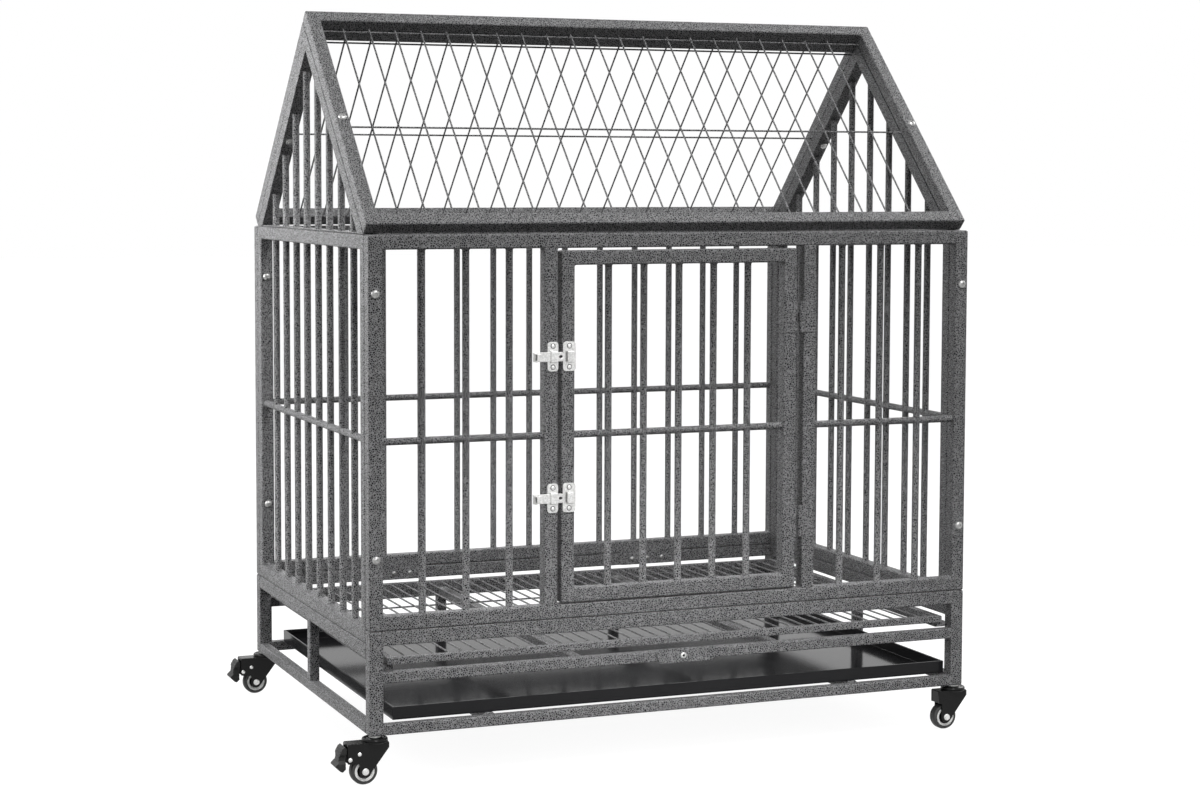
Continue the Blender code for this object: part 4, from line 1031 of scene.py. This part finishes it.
def makeWheel(name, node, body, x, y):
    half = caster["width"] / 2
    side = [(inset - half, radius) for inset, radius in wheel["profile"]]
    disc = smooth(turned(side + [(-along, radius) for along, radius in reversed(side)], 48), 40)
    for finish in (casterBlack, rimRing, tyreRubber):
        disc.data.materials.append(finish)
    for face in disc.data.polygons:
        reach = max(Vector(disc.data.vertices[corner].co[:2]).length for corner in face.vertices)
        face.material_index = 0 if reach < wheel["hub"] else 1 if reach < wheel["ring"] else 2
    aimed(disc, (x - caster["trail"], y, wheelR), (0, 1, 0))
    fitted(name, [disc], body, [node])


axle = {"head": 0.0045, "rise": 0.0025, "radius": 0.0025, "clear": 0.0003}


def hexHead(radius, rise):
    head = softened(turned([(0, radius), (rise, radius)], 6), 0.0004, 2)
    collar = smooth(turned([(-0.0002, radius * 1.06), (0.0004, radius * 1.06), (0.0006, radius)], 24), 40)
    return joined([head, collar])


def makeAxle(name, node, body, x, y):
    axleX = x - caster["trail"]
    out = cheekOut + axle["clear"]
    heads = bothCheeks(lambda: hexHead(axle["head"], axle["rise"]), axleX, y, wheelR, out)
    shaft = roundBar((axleX, y - cheekOut, wheelR), (axleX, y + cheekOut, wheelR), axle["radius"], 16)
    fitted(name, allPainted(heads + [shaft], zinc), body, [node])


pedal = {
    "width": 0.026, "waist": 0.0185, "waistFrom": -0.0008, "waistTo": 0.0048, "noseLag": 28,
    "noseSpread": 9, "noseGap": 0.0008, "cuts": (0.0085, 0.0045, -0.0005, -0.0045), "edge": 0.0011,
    "pin": 0.0017, "rivetRise": 0.0015, "clear": 0.0003, "leverGap": 0.00075,
    "paddle": [(-0.0074, 0.0186), (-0.0048, 0.0156), (-0.0058, 0.0030), (-0.0066, -0.0070),
               (-0.0062, -0.0118), (-0.0106, -0.0158), (-0.0140, -0.0146), (-0.0208, -0.0078),
               (-0.0204, -0.0060), (-0.0166, -0.0026), (-0.0152, 0.0040), (-0.0142, 0.0100),
               (-0.0108, 0.0164)],  # from the pivot, along X and Z
    "ribs": [(-0.0106, 0.0156, 40), (-0.0130, 0.0120, 62), (-0.0142, 0.0086, 74), (-0.0147, 0.0046, 84),
             (-0.0150, 0.0004, 80), (-0.0168, -0.0036, 52), (-0.0186, -0.0068, 40)],  # place and lean
    "ribHalf": (0.0009, 0.0112, 0.0008), "shortRib": 0.0085,
}


def makePaddle(px, y, pz):  # narrower between its two lobes
    shape = outlined([(px + dx, pz + dz) for dx, dz in pedal["paddle"]], pedal["width"])
    standing(shape, y + pedal["width"] / 2)
    opened(shape)
    for level in pedal["cuts"]:
        bpy.ops.mesh.select_all(action="SELECT")
        bpy.ops.mesh.bisect(plane_co=(0, 0, pz + level), plane_no=(0, 0, 1))
    lobes = bmesh.from_edit_mesh(shape.data)
    for corner in lobes.verts:
        if pz + pedal["waistFrom"] < corner.co.z < pz + pedal["waistTo"]:
            corner.co.y = y + (corner.co.y - y) * pedal["waist"] / pedal["width"]
    bmesh.update_edit_mesh(shape.data)
    bpy.ops.object.mode_set(mode="OBJECT")
    return softened(shape, pedal["edge"], 2, 25)


def makeRib(place, dz, turn):  # the two at the waist are short
    thick, reach, deep = pedal["ribHalf"]
    if pedal["waistFrom"] < dz < pedal["waistTo"]:
        reach = pedal["shortRib"]
    rib = softened(block((-thick, -reach, -deep), (thick, reach, deep)), 0.0004, 2)
    return moved(rib, Matrix.Translation(place) @ Matrix.Rotation(radians(turn - 90), 4, "Y"))


def makePedal(name, node, body, x, y):
    px, pz = x - caster["trail"] + pivotX, pivotZ
    paddle = makePaddle(px, y, pz)
    ribs = [makeRib((px + dx, y, pz + dz), dz, turn) for dx, dz, turn in pedal["ribs"]]
    nose, spread = caster["pivotAngle"] - 180 - pedal["noseLag"], pedal["noseSpread"]
    arm = arcPoints((0, 0), caster["pivotGap"] - pedal["noseGap"], nose - spread, nose + spread, 2)
    arm = [(-0.006, -0.003)] + arm + [(0.0042, 0), (0, 0.0042), (-0.006, 0.006)]
    inside = cheekIn - pedal["leverGap"]
    lever = standing(outlined([(px + dx, pz + dz) for dx, dz in arm], 2 * inside), y + inside)
    softened(lever, 0.0005, 2, 25)
    out = cheekOut + pedal["clear"]
    pin = roundBar((px, y - out, pz), (px, y + out, pz), pedal["pin"], 16)
    heads = bothCheeks(lambda: rivetHead(caster["rivet"], pedal["rivetRise"]), px, y, pz, out)
    parts = allPainted([paddle] + ribs, pedalPlastic) + [painted(lever, casterBlack)]
    parts += allPainted([pin] + heads, zinc)
    fitted(name, parts, body, [node])


for end, y in (("front", cage["tube"] / 2), ("rear", cage["depth"] - cage["tube"] / 2)):
    for side, x in postCentres:
        spot, label = f"{end}_{side}", f"{end}{side.title()}"
        makeStem(f"{label}Stem", f"{spot}_caster_stem", x, y)
        makeFork(f"{label}Fork", f"{spot}_caster_fork", f"{spot}_swivel", x, y, side == "left")
        makeWheel(f"{label}Wheel", f"{spot}_wheel", f"{spot}_roller", x, y)
        makeAxle(f"{label}Axle", f"{spot}_axle", f"{spot}_swivel", x, y)
        if side == "left":
            makePedal(f"{label}Pedal", f"{spot}_brake_pedal", f"{spot}_brake", x, y)
print("casters done")

# The room, the lamps and the camera
room = {"floor": 40.0, "sky": 0.05, "seen": 1.0, "floorTone": 0.09, "floorGlow": 0.935}
lamps = [  # name, place, aimed at, size, power, spread
    ("keyLamp", (-1.25, 0.20, 1.00), (-0.44, 0.02, 0.50), 0.9, 17, 180),
    ("frontLamp", (0.55, -2.3, 3.4), (0.1, 0, 0.4), 1.3, 99, 180),
    ("lowLamp", (-0.3, -1.6, 0.60), (0, -0.3, -0.02), 0.8, 1.5, 48),
    ("sideLamp", (3.0, 0.9, 2.4), (0.4, 0, 0.5), 1.6, 55, 180),
    ("backLamp", (0.2, 3.2, 2.6), (0, 0.3, 0.5), 1.6, 60, 180),
]
camera = {"place": (-1.3353, -3.2841, 0.8196), "yaw": 21.2863, "pitch": 3.9982, "roll": 0.0981,
          "lens": 69.939, "shift": (0.04, -0.05)}


def seenDirectly(tree):  # 1 for what the camera sees, straight, mirrored or through glass
    rays = tree.nodes.new("ShaderNodeLightPath").outputs
    straight = Shade(rays["Is Camera Ray"])
    mirrored = straight.maths("MAXIMUM", straight, Shade(rays["Is Glossy Ray"]))
    return mirrored.maths("MAXIMUM", mirrored, Shade(rays["Is Transmission Ray"]))


def makeRoom():
    deselect()
    bpy.ops.mesh.primitive_plane_add(size=room["floor"], location=(0, 0, 0))
    ground = bpy.context.object
    ground.name = "studioFloor"
    paint, shader, place = newFinish("studioFloorPaint", Roughness=0.9)
    tone = room["floorTone"]
    cloud = place.noise(1.2, 2.0)
    feed(shader, Base_Color=cloud.mixed(grey(tone), grey(tone * 1.02)),
         Emission_Color=seenDirectly(paint.node_tree).mixed(grey(0), grey(room["floorGlow"])))
    shader.inputs["Emission Strength"].default_value = 1
    painted(ground, paint)
    world = bpy.data.worlds.new("studioSky")
    world.use_nodes = True
    tree = world.node_tree
    backdrop = tree.nodes["Background"]
    backdrop.inputs["Color"].default_value = (1, 1, 1, 1)
    strength = seenDirectly(tree) * (room["seen"] - room["sky"]) + room["sky"]
    tree.links.new(strength.socket, backdrop.inputs["Strength"])
    bpy.context.scene.world = world


def makeLamps():
    for name, place, target, size, power, spread in lamps:
        deselect()
        bpy.ops.object.light_add(type="AREA", location=place)
        lamp = bpy.context.object
        lamp.name = name
        lamp.data.size, lamp.data.energy, lamp.data.spread = size, power, radians(spread)
        lamp.rotation_euler = (Vector(target) - Vector(place)).to_track_quat("-Z", "Y").to_euler()


def makeCamera():
    deselect()
    bpy.ops.object.camera_add(location=camera["place"])
    eye = bpy.context.object
    eye.name = "photoCamera"
    yaw, pitch, roll = (radians(angle) for angle in valuesOf(camera, "yaw", "pitch", "roll"))
    ahead = Vector((sin(yaw) * cos(pitch), cos(yaw) * cos(pitch), -sin(pitch)))
    level = Vector((cos(yaw), -sin(yaw), 0))
    above = level.cross(ahead)
    right = level * cos(roll) + above * sin(roll)
    up = above * cos(roll) - level * sin(roll)
    eye.matrix_world = Matrix.Translation(camera["place"]) @ Matrix((right, up, -ahead)).transposed().to_4x4()
    eye.data.sensor_width = 36
    eye.data.lens = camera["lens"]
    eye.data.shift_x, eye.data.shift_y = camera["shift"]
    bpy.context.scene.camera = eye


makeRoom()
makeLamps()
makeCamera()
bpy.context.scene.view_settings.view_transform = "Standard"
print("room, lamps and camera done")
